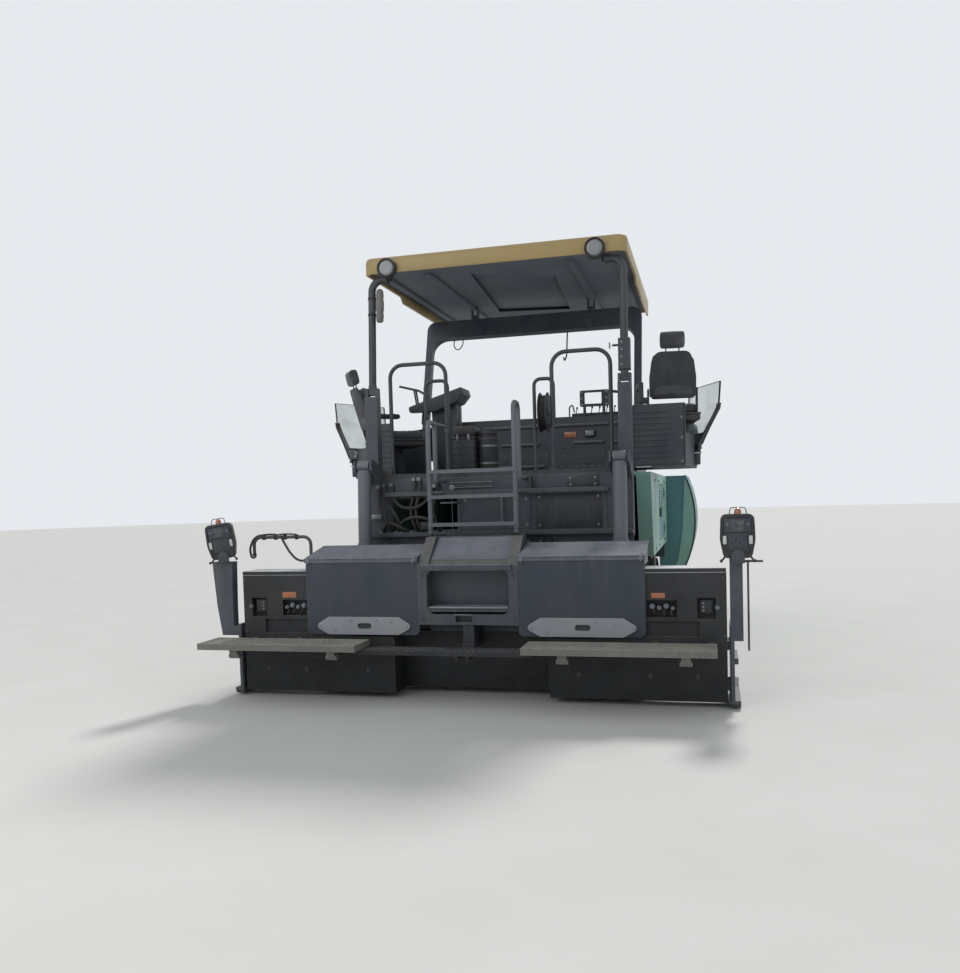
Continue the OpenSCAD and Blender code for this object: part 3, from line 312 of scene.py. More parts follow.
# Hot rolled steel that carries asphalt: black crust with 6 mm chippings low down, bright at the edges
HOPPER = weathered("hopper steel", "#4A5052", "#3A6064", dust="#5A5650", lies=0.8, rubbed="#A7ABAD",
                   rough=0.55, tar="#191A1B", tar_low=0.6, tar_high=1.25, grain_mm=6.25, relief=0.4)
TARRED = weathered("tarred steel", "#33343A", "#1C1D1F", dust="#5C574F", lies=0.7, runs=0.4, rubbed="#85888C",
                   rough=0.6, tar="#17181A", tar_low=0.05, tar_high=0.55, grain_mm=6.67, relief=0.55)
# Cast iron: dull, and polished where it runs; its 1 mm sand grain is drawn at 4 mm, to show
IRON = weathered("cast iron", "#4B4E53", "#3A3C40", dust="#6E675C", lies=0.7, runs=0.4, rubbed="#8B8E93",
                 rough=0.55, metal=0.4, grain_mm=4.17, relief=0.3)
# Bare steel, rubbed bright
STEEL = weathered("rubbed steel", "#7E828A", "#676B73", lies=0.5, runs=0.3, rough=0.38, metal=0.75,
                  grain_mm=3.33)
# Chromed rod: a clean mirror
CHROME = weathered("hard chrome", "#C3C6CA", "#B4B8BD", lies=0.15, runs=0.1, rough=0.12, metal=1.0,
                   relief=0.02)
# Zinc sprayed plate: pale, matt and gritty
ZINC = weathered("zinc sprayed plate", "#A3A7AE", "#8F939A", dust="#B4AEA3", runs=0.3, rough=0.55, metal=0.2,
                 relief=0.3)
# Painted highlight: near white paint on lips, edges and lines, standing for the light that they catch
EDGE = weathered("painted edge highlight", "#DADCDE", "#C4C7CA", lies=0.3, rough=0.45)
# Galvanised plate, walked on: dull grey with pale scuffs
BOARD = weathered("galvanised plate", "#75766E", "#686A66", dust="#A19D92", lies=0.75, runs=0.4,
                  rubbed="#C0BFB8", rubbed_mm=6.0, rough=0.6, relief=0.3)
# Rubber: black, dull, held by dust; coarse on the shoes, fine on the hoses
SHOES = weathered("tread rubber", "#2B2C2E", "#1F2022", dust="#6B6459", runs=0.55, rough=0.8, grain_mm=5.56,
                  relief=0.5)
RUBBER = weathered("hose rubber", "#26272A", "#1C1D1F", lies=0.5, runs=0.3, rough=0.7, grain_mm=1.11)
# Moulded plastics: a soft sheen over a leather grain, drawn at 1.1 mm or more, to show
PLASTIC = weathered("black moulded ABS", "#2C2F35", "#24272C", rough=0.55, grain_mm=1.11, relief=0.2)
POD = weathered("slate moulded ABS", "#3D434D", "#343A43", runs=0.3, grain_mm=1.43, relief=0.15)
WHITE = weathered("white moulded ABS", "#D8DAD6", "#C9CBC7", lies=0.3, rough=0.4)
# Woven cloth and canvas: dull ribs with a soft sheen, greyed by dust
CLOTH = woven("polyester seat cloth", "#52545B", "#3D3F45", "#77756F")
CANVAS = woven("canvas", "#8A8A86", "#6E6E6B", "#9A958B")
# Float glass: clear and green, milky with dust
GLASS = dusty_glass("green tinted glass", "#B4D6C6", "#D5E0D9")
# Moulded acrylic lenses and a display: a wet gloss over ribs
AMBER = ribbed_lens("amber acrylic", "#C8743A", "#9C4F22")
LAMP = ribbed_lens("clear acrylic", "#8F9294", "#74777A", 5.236, 0.15)
SCREEN = ribbed_lens("display glass", "#39424E", "#2E3641", 15.708, 0.15)

# The solid nodes that wear each finish
WEARERS = [
    (SLATE, "rear_wall hood push_beam steps front_portal"),
    (SHEET, "covers gate_left gate_right"),
    (DARK, "chassis tie_down_lugs engine_frame auger_hanger deck tow_arms"),
    (TEAL, "door_left door_right wing_left wing_right"),
    (PALE_TEAL, "side_panels"),
    (TUBE, "ladder lift_barrels"),
    (DARK_TUBE, "handrails rear_posts"),
    (LID, "lid_left lid_right"),
    (GELCOAT, "roof"),
    (HOPPER, "conveyor hopper_base apron"),
    (TARRED, "screed_frame grating extension_left extension_right"),
    (IRON, "engine track_frames"),
    (STEEL, "push_roller_left push_roller_right auger_left auger_right"),
    (CHROME, "lift_rods"),
    (BOARD, "board_left board_right"),
    (SHOES, "track_left track_right"),
    (PLASTIC, "air_filter control_box_left control_box_right console"),
    (POD, "pod_left pod_right"),
    (CLOTH, "seat_left seat_right"),
    (GLASS, "glass_left glass_right"),
]


def dress_nodes():
    for finish, names in WEARERS:
        for name in names.split():
            mesh = nodes[name].data
            if not mesh.materials:
                mesh.materials.append(finish)
            for i in range(len(mesh.materials)):
                mesh.materials[i] = finish


# Shapes that the pieces are made from

def round_edges(part, edges, by, steps=2):
    bmesh.ops.bevel(part, geom=list(edges), offset=by, offset_type="OFFSET", affect="EDGES", segments=steps,
                    profile=0.5, material=-1, clamp_overlap=True)


def block(low, high, bevel=0.003, steps=2):
    """Box between two corners with rounded edges."""
    part = bmesh.new()
    bmesh.ops.create_cube(part, size=1.0)
    bmesh.ops.scale(part, vec=[h - l for l, h in zip(low, high)], verts=part.verts)
    bmesh.ops.translate(part, vec=[(h + l) / 2 for l, h in zip(low, high)], verts=part.verts)
    if bevel:
        round_edges(part, part.edges, bevel, steps)
    return part


def along(a, b):
    """Matrix that takes the Z axis at the origin to the line from a to b."""
    a, b = Vector(a), Vector(b)
    return Matrix.Translation(a) @ (b - a).to_track_quat("Z", "Y").to_matrix().to_4x4()


def rod(a, b, r, end=None, sides=24, bevel=0.0):
    """Round bar or cone from a to b."""
    length = (Vector(b) - Vector(a)).length
    part = bmesh.new()
    bmesh.ops.create_cone(part, cap_ends=True, cap_tris=False, segments=sides, radius1=r,
                          radius2=r if end is None else end, depth=length)
    bmesh.ops.translate(part, vec=(0, 0, length / 2), verts=part.verts)
    if bevel:
        rims = [e for e in part.edges if len({round(v.co.z, 5) for v in e.verts}) == 1]
        round_edges(part, rims, bevel)
    bmesh.ops.transform(part, matrix=along(a, b), verts=part.verts)
    return part


def turned(a, b, profile, sides=32):
    """Round piece turned on the line from a to b; profile gives (distance along, radius)."""
    part = bmesh.new()
    points = [part.verts.new((radius, 0.0, distance)) for distance, radius in profile]
    line = [part.edges.new(pair) for pair in zip(points, points[1:])]
    bmesh.ops.spin(part, geom=points + line, cent=(0, 0, 0), axis=(0, 0, 1), dvec=(0, 0, 0),
                   angle=2 * math.pi, steps=sides, use_merge=True, use_duplicate=False)
    bmesh.ops.remove_doubles(part, verts=part.verts, dist=1e-5)
    bmesh.ops.holes_fill(part, edges=part.edges, sides=0)
    bmesh.ops.transform(part, matrix=along(a, b), verts=part.verts)
    return part


def thicken(part, faces, thick):
    """Gives flat faces their thickness along Z."""
    grown = bmesh.ops.extrude_face_region(part, geom=faces)["geom"]
    risen = [g for g in grown if isinstance(g, bmesh.types.BMVert)]
    bmesh.ops.translate(part, vec=(0, 0, thick), verts=risen)
    bmesh.ops.recalc_face_normals(part, faces=part.faces)


def outline(points, thick, bevel=0.002, steps=1):
    """Flat plate from an outline in X and Y, thick along Z from 0."""
    part = bmesh.new()
    thicken(part, [part.faces.new([part.verts.new((x, y, 0.0)) for x, y in points])], thick)
    if bevel:
        round_edges(part, part.edges, bevel, steps)
    return part


# A plate drawn in y and z standing across x, or in x and z standing across y
SIDEWAYS = Matrix(((0, 0, 1, 0), (1, 0, 0, 0), (0, 1, 0, 0), (0, 0, 0, 1)))
CROSSWAYS = Matrix(((1, 0, 0, 0), (0, 0, -1, 0), (0, 1, 0, 0), (0, 0, 0, 1)))


def side_plate(points, x0, x1, bevel=0.002, steps=1):
    """Plate with an outline in y and z, between two x."""
    part = outline(points, x1 - x0, bevel, steps)
    bmesh.ops.transform(part, matrix=Matrix.Translation((x0, 0, 0)) @ SIDEWAYS, verts=part.verts)
    return part


def standing(part, y1):
    """A plate drawn flat, stood up across the machine with its foot plane at y1."""
    bmesh.ops.transform(part, matrix=Matrix.Translation((0, y1, 0)) @ CROSSWAYS, verts=part.verts)
    return part


def cross_plate(points, y0, y1, bevel=0.002, steps=1):
    """Plate with an outline in x and z, between two y."""
    return standing(outline(points, y1 - y0, bevel, steps), y1)


def arc(centre, r, start, end, steps=6):
    """Points on an arc; angles in degrees."""
    turns = [math.radians(start + (end - start) * i / steps) for i in range(steps + 1)]
    return [(centre[0] + r * math.cos(t), centre[1] + r * math.sin(t)) for t in turns]


def rounded_box(x0, x1, y0, y1, r, steps=6):
    """Outline of a rectangle with round corners, anticlockwise."""
    corners = [(x1 - r, y1 - r), (x0 + r, y1 - r), (x0 + r, y0 + r), (x1 - r, y0 + r)]
    return [point for i, corner in enumerate(corners) for point in arc(corner, r, 90 * i, 90 * i + 90, steps)]


def pierced(outer, holes, thick, bevel=0.0015):
    """Flat plate with holes, drawn in X and Y, thick along Z from 0."""
    part = bmesh.new()
    for loop in [outer] + holes:
        points = [part.verts.new((x, y, 0.0)) for x, y in loop]
        for pair in zip(points, points[1:] + points[:1]):
            part.edges.new(pair)
    bmesh.ops.triangle_fill(part, use_beauty=True, use_dissolve=False, edges=part.edges, normal=(0, 0, 1))
    thicken(part, list(part.faces), thick)
    if bevel:
        rims = [e for e in part.edges if e.is_manifold and e.calc_face_angle(0.0) > 1.0
                and abs(e.verts[0].co.z - e.verts[1].co.z) < 1e-6]
        round_edges(part, rims, bevel, 1)
    return part


def frame_plate(x0, x1, z0, z1, r, wide, inner_r, thick, y1, bevel=0.001):
    """Upright frame with round corners, as a hatch cover's rim."""
    hole = rounded_box(x0 + wide, x1 - wide, z0 + wide, z1 - wide, inner_r)
    return standing(pierced(rounded_box(x0, x1, z0, z1, r), [hole], thick, bevel), y1)


def lofted(loops):
    """Closed skin through outlines at heights, flat at both ends; all outlines have as many points."""
    part = bmesh.new()
    rings = [[part.verts.new((x, y, z)) for x, y in loop] for loop, z in loops]
    for low, high in zip(rings, rings[1:]):
        for n, point in enumerate(low):
            part.faces.new((low[n - 1], point, high[n], high[n - 1]))
    part.faces.new(rings[0])
    part.faces.new(rings[-1])
    bmesh.ops.recalc_face_normals(part, faces=part.faces)
    return part


def bent_tube(points, r, bend=0.06, sides=14):
    """Tube through corner points, each corner turned on the radius bend."""
    path = [Vector(p) for p in points]
    part = bmesh.new()
    ring = bmesh.ops.create_circle(part, cap_ends=False, segments=sides, radius=r)["verts"]
    bmesh.ops.transform(part, matrix=along(path[0], path[1]), verts=ring)
    edges = list(part.edges)
    at = path[0]
    for i in range(1, len(path)):
        ahead = (path[i] - path[i - 1]).normalized()
        turn = 0.0
        cut = 0.0
        if i < len(path) - 1:
            following = (path[i + 1] - path[i]).normalized()
            turn = ahead.angle(following)
            reach = min((path[i] - path[i - 1]).length, (path[i + 1] - path[i]).length) * 0.49
            radius = min(bend, reach / max(math.tan(turn / 2), 1e-4))
            cut = radius * math.tan(turn / 2)
        target = path[i] - ahead * cut
        made = bmesh.ops.extrude_edge_only(part, edges=edges)["geom"]
        new = {g for g in made if isinstance(g, bmesh.types.BMVert)}
        bmesh.ops.translate(part, vec=target - at, verts=list(new))
        edges = [e for e in part.edges if e.verts[0] in new and e.verts[1] in new]
        at = target
        if turn > 0.02:
            hinge = ahead.cross(following).normalized()
            spun = bmesh.ops.spin(part, geom=edges, cent=at + hinge.cross(ahead) * radius, axis=hinge,
                                  dvec=(0, 0, 0), angle=turn, steps=max(3, int(turn / 0.26)),
                                  use_merge=False, use_duplicate=False)
            edges = [g for g in spun["geom_last"] if isinstance(g, bmesh.types.BMEdge)]
            at = path[i] + following * cut
    bmesh.ops.holes_fill(part, edges=part.edges, sides=0)
    bmesh.ops.recalc_face_normals(part, faces=part.faces)
    return part


def hose(points, r):
    """Hose on one smooth curve through the points."""
    data = bpy.data.curves.new("run", "CURVE")
    data.dimensions = "3D"
    data.bevel_depth = r
    data.bevel_resolution = 1
    data.resolution_u = 8
    data.use_fill_caps = True
    line = data.splines.new("BEZIER")
    line.bezier_points.add(len(points) - 1)
    for knot, point in zip(line.bezier_points, points):
        knot.co = point
        knot.handle_left_type = "AUTO"
        knot.handle_right_type = "AUTO"
    run = bpy.data.objects.new("run", data)
    mesh = bpy.data.meshes.new_from_object(run)
    part = bmesh.new()
    part.from_mesh(mesh)
    bpy.data.objects.remove(run)
    bpy.data.curves.remove(data)
    bpy.data.meshes.remove(mesh)
    bmesh.ops.remove_doubles(part, verts=part.verts, dist=1e-6)
    bmesh.ops.recalc_face_normals(part, faces=part.faces)
    return part


def merge(whole, part):
    mesh = bpy.data.meshes.new("part")
    part.to_mesh(mesh)
    part.free()
    whole.from_mesh(mesh)
    bpy.data.meshes.remove(mesh)


def gathered(parts):
    """Several parts as one."""
    whole = bmesh.new()
    for part in parts:
        merge(whole, part)
    return whole


def shifted(part, by):
    bmesh.ops.translate(part, vec=by, verts=part.verts)
    return part


def mirrored(part):
    """The part on the other side of the machine."""
    bmesh.ops.scale(part, vec=(-1, 1, 1), verts=part.verts)
    bmesh.ops.reverse_faces(part, faces=part.faces)
    return part


def both(make):
    """The part on both sides of the machine."""
    return gathered([make(), mirrored(make())])


def bolts(spots, towards, r=0.011, high=0.008, washer=0.003):
    """Hexagon heads on washers, all facing one way."""
    heads = []
    for spot in spots:
        at, way = Vector(spot), Vector(towards)
        heads.append(rod(at, at + way * washer, r * 1.5, sides=16))
        heads.append(rod(at + way * washer, at + way * (washer + high), r, sides=6))
    return gathered(heads)


class Piece:
    """A piece of the machine, gathered from shaped parts; flip makes it for the left side."""

    def __init__(self, name, body, main_finish, flip=False):
        self.name = name
        self.body = body
        self.finishes = [main_finish]
        self.flip = flip
        self.mesh = bmesh.new()

    def add(self, part, finish=None, place=None):
        """Adds a part in the main finish or another one, at its place."""
        finish = finish or self.finishes[0]
        if finish not in self.finishes:
            self.finishes.append(finish)
        if place is not None:
            bmesh.ops.transform(part, matrix=place, verts=part.verts)
        if self.flip:
            mirrored(part)
        for face in part.faces:
            face.material_index = self.finishes.index(finish)
        merge(self.mesh, part)

    def done(self, replaces=(), smooth=32.0):
        """The finished object on its body, instead of the solid nodes that it stands for."""
        mesh = bpy.data.meshes.new(self.name)
        self.mesh.to_mesh(mesh)
        self.mesh.free()
        for finish in self.finishes:
            mesh.materials.append(finish)
        for face in mesh.polygons:
            face.use_smooth = True
        mesh.set_sharp_from_angle(angle=math.radians(smooth))
        made = bpy.data.objects.new(self.name, mesh)
        bpy.context.scene.collection.objects.link(made)
        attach(made, self.body)
        if replaces:
            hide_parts(*replaces)
        return made


# Canopy

ROOF_HALF, ROOF_REAR, ROOF_FRONT, ROOF_TOP = 1.116, -1.745, 0.845, 3.56
# Height where the lamps and hangers enter the lining
LINED = 3.452


def roof_outline(inset, corner, steps):
    return rounded_box(-ROOF_HALF + inset, ROOF_HALF - inset, ROOF_REAR + inset, ROOF_FRONT - inset, corner,
                       steps)


def roof_shell():
    """Moulded shell: soft top edges, sunk top panel, and a lip round its open underside."""
    # inset from the outside, height
    rises = [(0.020, 3.534), (0.020, 3.421), (0.002, 3.421), (0.0, 3.426), (0.0, 3.520), (0.004, 3.538),
             (0.015, 3.552), (0.034, 3.560), (0.118, 3.560), (0.130, 3.547)]
    return lofted([(roof_outline(inset, max(0.07 - inset, 0.03), 5), z) for inset, z in rises])


def hanger(y, low, r, x0, x1):
    """Round-ended tab below the lining."""
    tip = arc((y, low), r, 180, 360, 8)[1:-1]
    return side_plate([(y - r, LINED), (y - r, low)] + tip + [(y + r, low), (y + r, LINED)], x0, x1)


def make_canopy():
    """Shell, lining with the hole for the portal, beams, hangers, and two round lamps in the rear edge."""
    canopy = Piece("canopy", "roof", GELCOAT)
    canopy.add(roof_shell())
    for (y0, y1), x in product(((-1.60, -0.62), (-0.50, 0.70)), (-0.66, -0.22, 0.22, 0.66)):
        canopy.add(block((x - 0.055, y0, ROOF_TOP - 0.016), (x + 0.055, y1, ROOF_TOP - 0.004), 0.005))
    hole = [(-0.283, -1.336), (0.411, -0.99), (0.321, 0.478), (-0.406, 0.34)]
    canopy.add(shifted(pierced(roof_outline(0.021, 0.05, 4), [hole], 0.012), (0, 0, 3.45)), FELT)
    canopy.add(block((-0.45, -1.36, 3.478), (0.45, 0.52, 3.486), 0.002), FELT)
    for x in (-1.0, -0.62, 0.62, 1.0):
        canopy.add(block((x - 0.03, -1.5, 3.428), (x + 0.03, 0.70, LINED), 0.006), FELT)
    canopy.add(block((-1.05, ROOF_REAR + 0.03, 3.432), (1.05, ROOF_REAR + 0.055, LINED), 0.004), FELT)
    fin = [(-0.845, 3.44), (-0.765, 3.37), (0.765, 3.37), (0.765, 3.44)]
    canopy.add(both(lambda: side_plate(fin, ROOF_HALF - 0.022, ROOF_HALF - 0.002, 0.003, 2)))
    for x in (0.562, 0.622):
        canopy.add(both(lambda: hanger(0.045, 3.36, 0.026, x, x + 0.016)), DARK)
    canopy.add(both(lambda: hanger(-1.66, 3.385, 0.024, 0.901, 0.915)), DARK)
    pin = (0.901, -1.66, 3.385), (0.957, -1.66, 3.385)
    canopy.add(both(lambda: rod(*pin, 0.01, sides=16, bevel=0.002)), DARK)
    rim = [(0.0, 0.0), (0.0, 0.082), (0.050, 0.084), (0.066, 0.080), (0.066, 0.071), (0.058, 0.064),
           (0.056, 0.0)]
    glass = [(0.057, 0.0), (0.062, 0.030), (0.060, 0.054), (0.057, 0.065)]
    for x in (-0.898, 0.862):
        at, back = (x, ROOF_REAR + 0.02, LINED), (x, ROOF_REAR - 0.046, LINED)
        canopy.add(turned(at, back, rim), RUBBER)
        canopy.add(turned(at, back, glass), LAMP)
    canopy.done(["roof"])


# Seats

# Each seat: foot of its swivel, turn about it, lean of its back
SEAT_PLACES = {"left": ((-1.250, -0.855, 1.945), -55.0, 11.0), "right": ((1.395, -0.855, 2.060), 8.0, 0.0)}
FILL_PRESSURE, FILL_FRAMES = 4.0, 20


def evaluated(pad):
    return bpy.data.meshes.new_from_object(pad.evaluated_get(bpy.context.evaluated_depsgraph_get()))


def stuffed(part, grid, swell):
    """Cushion blown up from a plain shape, each point kept within swell of where it began."""
    scene = bpy.context.scene
    mesh = bpy.data.meshes.new("cushion")
    part.to_mesh(mesh)
    part.free()
    pad = bpy.data.objects.new("cushion", mesh)
    scene.collection.objects.link(pad)
    even = pad.modifiers.new("even grid", "REMESH")
    even.mode = "VOXEL"
    even.voxel_size = grid
    pad.data = evaluated(pad)
    pad.modifiers.clear()
    start = [v.co.copy() for v in pad.data.vertices]
    filling = pad.modifiers.new("filling", "CLOTH")
    filling.settings.quality = 4
    filling.settings.use_pressure = True
    filling.settings.uniform_pressure_force = FILL_PRESSURE
    filling.settings.effector_weights.gravity = 0.0
    for moment in range(1, FILL_FRAMES + 1):
        scene.frame_set(moment)
    blown = evaluated(pad)
    pad.modifiers.clear()
    for vertex, began, ended in zip(pad.data.vertices, start, blown.vertices):
        move = ended.co - began
        if move.length > swell:
            move *= swell / move.length
        vertex.co = began + move
    scene.frame_set(1)
    made = bmesh.new()
    made.from_mesh(pad.data)
    bpy.data.objects.remove(pad)
    for _ in range(2):
        bmesh.ops.smooth_vert(made, verts=made.verts, factor=0.5, use_axis_x=True, use_axis_y=True,
                              use_axis_z=True)
    return made


def sewn(part, facing, lines, depth=0.006, width=0.014):
    """Sewn channels on the side that faces so; each line gives the axis that it crosses and where."""
    for axis, at in lines:
        part.normal_update()
        for vertex in part.verts:
            off = abs(vertex.co[axis] - at)
            if off < width and vertex.normal.dot(Vector(facing)) > 0.35:
                vertex.co -= vertex.normal * depth * (0.5 + 0.5 * math.cos(math.pi * off / width))


def seat_cushions():
    """Name, form, fill and whether it leans, of each cushion above the swivel's foot, facing +Y."""
    seat = stuffed(block((-0.230, -0.180, 0.112), (0.230, 0.284, 0.188), 0.032, 3), 0.012, 0.015)
    sewn(seat, (0, 0, 1), [(0, -0.125), (0, 0.125), (1, -0.06), (1, 0.12)])
    form = [(-0.142, 0.245), (-0.112, 0.262), (-0.156, 0.600), (-0.182, 0.627), (-0.218, 0.627),
            (-0.212, 0.245)]
    back = side_plate(form, -0.188, 0.188, 0.018, 3)
    for vertex in back.verts:
        if vertex.co.z > 0.57:
            vertex.co.x *= 1.0 - 1.6 * (vertex.co.z - 0.57)
    back = stuffed(back, 0.012, 0.010)
    sewn(back, (0, 1, 0.1), [(0, -0.115), (0, 0.115), (2, 0.36), (2, 0.50)])
    form = [(-0.276, 0.668), (-0.280, 0.790), (-0.256, 0.805), (-0.216, 0.805), (-0.199, 0.790),
            (-0.196, 0.674), (-0.212, 0.664)]
    rest = stuffed(side_plate(form, -0.101, 0.101, 0.018, 3), 0.009, 0.009)
    return [("seat_cushion", seat, 0.75, False), ("back_cushion", back, 0.75, True),
            ("head_rest", rest, 0.85, True)]


def seat_shell():
    """Moulded back shell, wider at the hips and drawn in over round shoulders."""
    side = [(0.168, 0.236), (0.198, 0.262), (0.199, 0.420), (0.180, 0.560)]
    side += arc((0.100, 0.574), 0.062, 10, 90)
    part = outline(side + [(-x, z) for x, z in reversed(side)], 0.018, 0.005, 2)
    for vertex in part.verts:
        x, z, deep = vertex.co
        rear = -0.249 - 0.092 * (z - 0.45)
        vertex.co = (x, min(rear + 0.017 - deep + 0.5 * x * x, -0.20), z)
    bmesh.ops.recalc_face_normals(part, faces=part.faces)
    return part


def seat_arm():
    """Side arm of the back with its pivot cap, and one post of the head rest."""
    arm = [(-0.188, 0.072), (-0.112, 0.072), (-0.118, 0.20), (-0.132, 0.328), (-0.206, 0.328), (-0.200, 0.20)]
    cap = [(0.0, 0.0), (0.0, 0.03), (0.0145, 0.026), (0.0148, 0.0)]
    return gathered([side_plate(arm, 0.2003, 0.2137, 0.004, 2),
                     rod((0.055, -0.2325, 0.60), (0.055, -0.2325, 0.70), 0.0055, sides=12),
                     turned((0.199, -0.165, 0.29), (0.2138, -0.165, 0.29), cap, 20)])


def seat_pan():
    """Swivel, suspension pan with its bellows folds, and one arm rest on its post."""
    rest = ([(-0.148, 0.352), (0.150, 0.348)] + arc((0.152, 0.3725), 0.0245, -90, 90)
            + [(-0.10, 0.398), (-0.148, 0.392)])
    post = [(-0.2, 0.202), (-0.142, 0.202), (-0.141, 0.392), (-0.178, 0.392)]
    button = [(0.0, 0.0), (0.0, 0.018), (0.0038, 0.014), (0.0039, 0.0)]
    folds = [block((-0.234, -0.189, z), (0.234, 0.279, z + 0.007), 0.003, 1) for z in (0.054, 0.068, 0.082)]
    return gathered([rod((0, 0, 0.0004), (0, 0, 0.05), 0.12, sides=40, bevel=0.004),
                     block((-0.235, -0.19, 0.0483), (0.235, 0.28, 0.098), 0.014, 3), *folds,
                     block((-0.240, -0.196, 0.096), (0.240, 0.296, 0.116), 0.009),
                     side_plate(rest, -0.289, -0.247, 0.010, 3),
                     side_plate(post, -0.289, -0.247, 0.004, 2),
                     block((-0.25, -0.2, 0.202), (-0.206, -0.172, 0.258), 0.006),
                     turned((-0.268, 0.12, 0.396), (-0.268, 0.12, 0.3999), button, 16)])


def make_seats():
    soft = seat_cushions()
    for side, (at, turn, lean) in SEAT_PLACES.items():
        place = Matrix.Translation(at) @ Matrix.Rotation(math.radians(turn), 4, "Z")
        pivot = Matrix.Translation((0.0, -0.150, 0.140))
        leaning = place @ pivot @ Matrix.Rotation(math.radians(lean), 4, "X") @ pivot.inverted()
        node = "seat_" + side
        hard = Piece("seat_frame_" + side, node, PLASTIC)
        hard.add(seat_pan(), place=place)
        hard.add(gathered([seat_shell(), both(seat_arm)]), place=leaning)
        hard.done([node])
        for name, form, fill, leans in soft:
            pad = Piece(name + "_" + side, node, CLOTH)
            pad.add(form.copy(), place=leaning if leans else place)
            made = pad.done([node], smooth=80)
            rounder = made.modifiers.new("round", "SUBSURF")
            rounder.levels = 1
            rounder.render_levels = 1


# Screed control boxes

def box_outline(size=1.0):
    """Outline of the control box: widest a little below its middle, all corners round."""
    half = (arc((0.062, 0.040), 0.036, -90, -14, 5) + [(0.1125, 0.110), (0.1150, 0.140)]
            + arc((0.070, 0.260), 0.040, 8, 90))
    loop = half + [(-x, z) for x, z in reversed(half)]
    return [(x * size, 0.152 + (z - 0.152) * size) for x, z in loop]


BOX_PLACES = {
    "right": Matrix.Translation((1.896, -2.731, 1.032)),
    "left": (Matrix.Translation((-1.976, -2.725, 1.068)) @ Matrix.Rotation(math.radians(22), 4, "Z")
             @ Matrix.Rotation(math.radians(-8), 4, "Y") @ Matrix.Scale(0.93, 4)),
}


def make_control_box(side):
    """Housing with keypad and display on its rear face, an amber dome in a wire guard, and its clamp."""
    unit = Piece("screed_control_" + side, "gate_" + side, PLASTIC)

    def put(part, finish=PLASTIC):
        unit.add(part, finish, BOX_PLACES[side])

    put(cross_plate(box_outline(), -0.060, 0.054, 0.012, 3))
    put(standing(pierced(box_outline(0.91), [box_outline(0.84)], 0.006, 0.001), -0.0600))
    put(block((-0.088, -0.066, 0.178), (0.088, -0.058, 0.270), 0.004), POD)
    put(block((-0.040, -0.0685, 0.190), (0.042, -0.060, 0.258), 0.002), SCREEN)
    put(block((-0.060, -0.0635, 0.060), (0.060, -0.058, 0.168), 0.004), POD)
    for i, j in product(range(4), repeat=2):
        x, z = i * 0.026 - 0.039, j * 0.025 + 0.080
        key = rod((x, -0.062, z), (x, -0.0665, z), 0.0075, end=0.0065, sides=12)
        put(key, PLASTIC if (x + z) % 0.05 < 0.025 else POD)
    for x in (-1, 1):
        put(rod((x * 0.066, -0.064, 0.232), (x * 0.066, -0.070, 0.232), 0.011, sides=20, bevel=0.002), TUBE)
        put(block((x * 0.084 - 0.012, -0.070, 0.098), (x * 0.084 + 0.012, -0.060, 0.156), 0.005), WHITE)
        loop = [(x * 0.085, -0.03, 0.010), (x * 0.104, -0.04, -0.012), (x * 0.108, -0.085, -0.012)]
        put(bent_tube(loop, 0.007, 0.012, 10))
        put(rod((x * 0.108, -0.072, -0.012), (x * 0.108, -0.098, -0.012), 0.011, sides=14, bevel=0.003))
    tongue = [(-0.044, -0.030)] + arc((0.0, 0.020), 0.044, 180, 0, 14) + [(0.044, -0.030)]
    put(cross_plate(tongue, -0.082, -0.062, 0.004, 2), POD)
    dome = [(0.0, 0.0), (0.0, 0.024), (0.020, 0.023), (0.034, 0.016), (0.040, 0.006), (0.0415, 0.0)]
    put(turned((0.004, -0.01, 0.300), (0.004, -0.01, 0.341), dome, 24), AMBER)
    guard = [(-0.052, -0.02, 0.298), (-0.046, -0.02, 0.3435), (0.054, -0.02, 0.3435), (0.060, -0.02, 0.298)]
    put(bent_tube(guard, 0.0035, 0.02, 8), TUBE)
    unit.done(["control_box_" + side])


# Screed covers, steps and walkways

FACE = -2.755


def grip_plate(centre, wide, high):
    """Pale plate with long tapered ends, an oval grip hole and two bolts at each tip."""
    half, mid, z = wide / 2, wide / 2 - 0.09, high / 2
    loop = (arc((centre + half - 0.026, 0.552), 0.026, -55, 55, 5)
            + [(centre + mid, 0.552 + z), (centre - mid, 0.552 + z)]
            + arc((centre - half + 0.026, 0.552), 0.026, 125, 235, 5)
            + [(centre - mid, 0.557 - z), (centre + mid, 0.557 - z)])
    hole = rounded_box(centre - 0.045, centre + 0.065, 0.532, 0.574, 0.020, 5)
    # distance from the middle, lift
    heads = [(-half + 0.024, 0.0), (half - 0.024, 0.0), (mid - 0.06, 0.035), (-mid + 0.05, -0.030),
             (0.10, 0.045), (-0.10, 0.045)]
    spots = [(centre + x, FACE - 0.016, 0.552 + lift) for x, lift in heads]
    return gathered([standing(pierced(loop, [hole], 0.016), FACE), bolts(spots, REARWARD, 0.007, 0.004)])


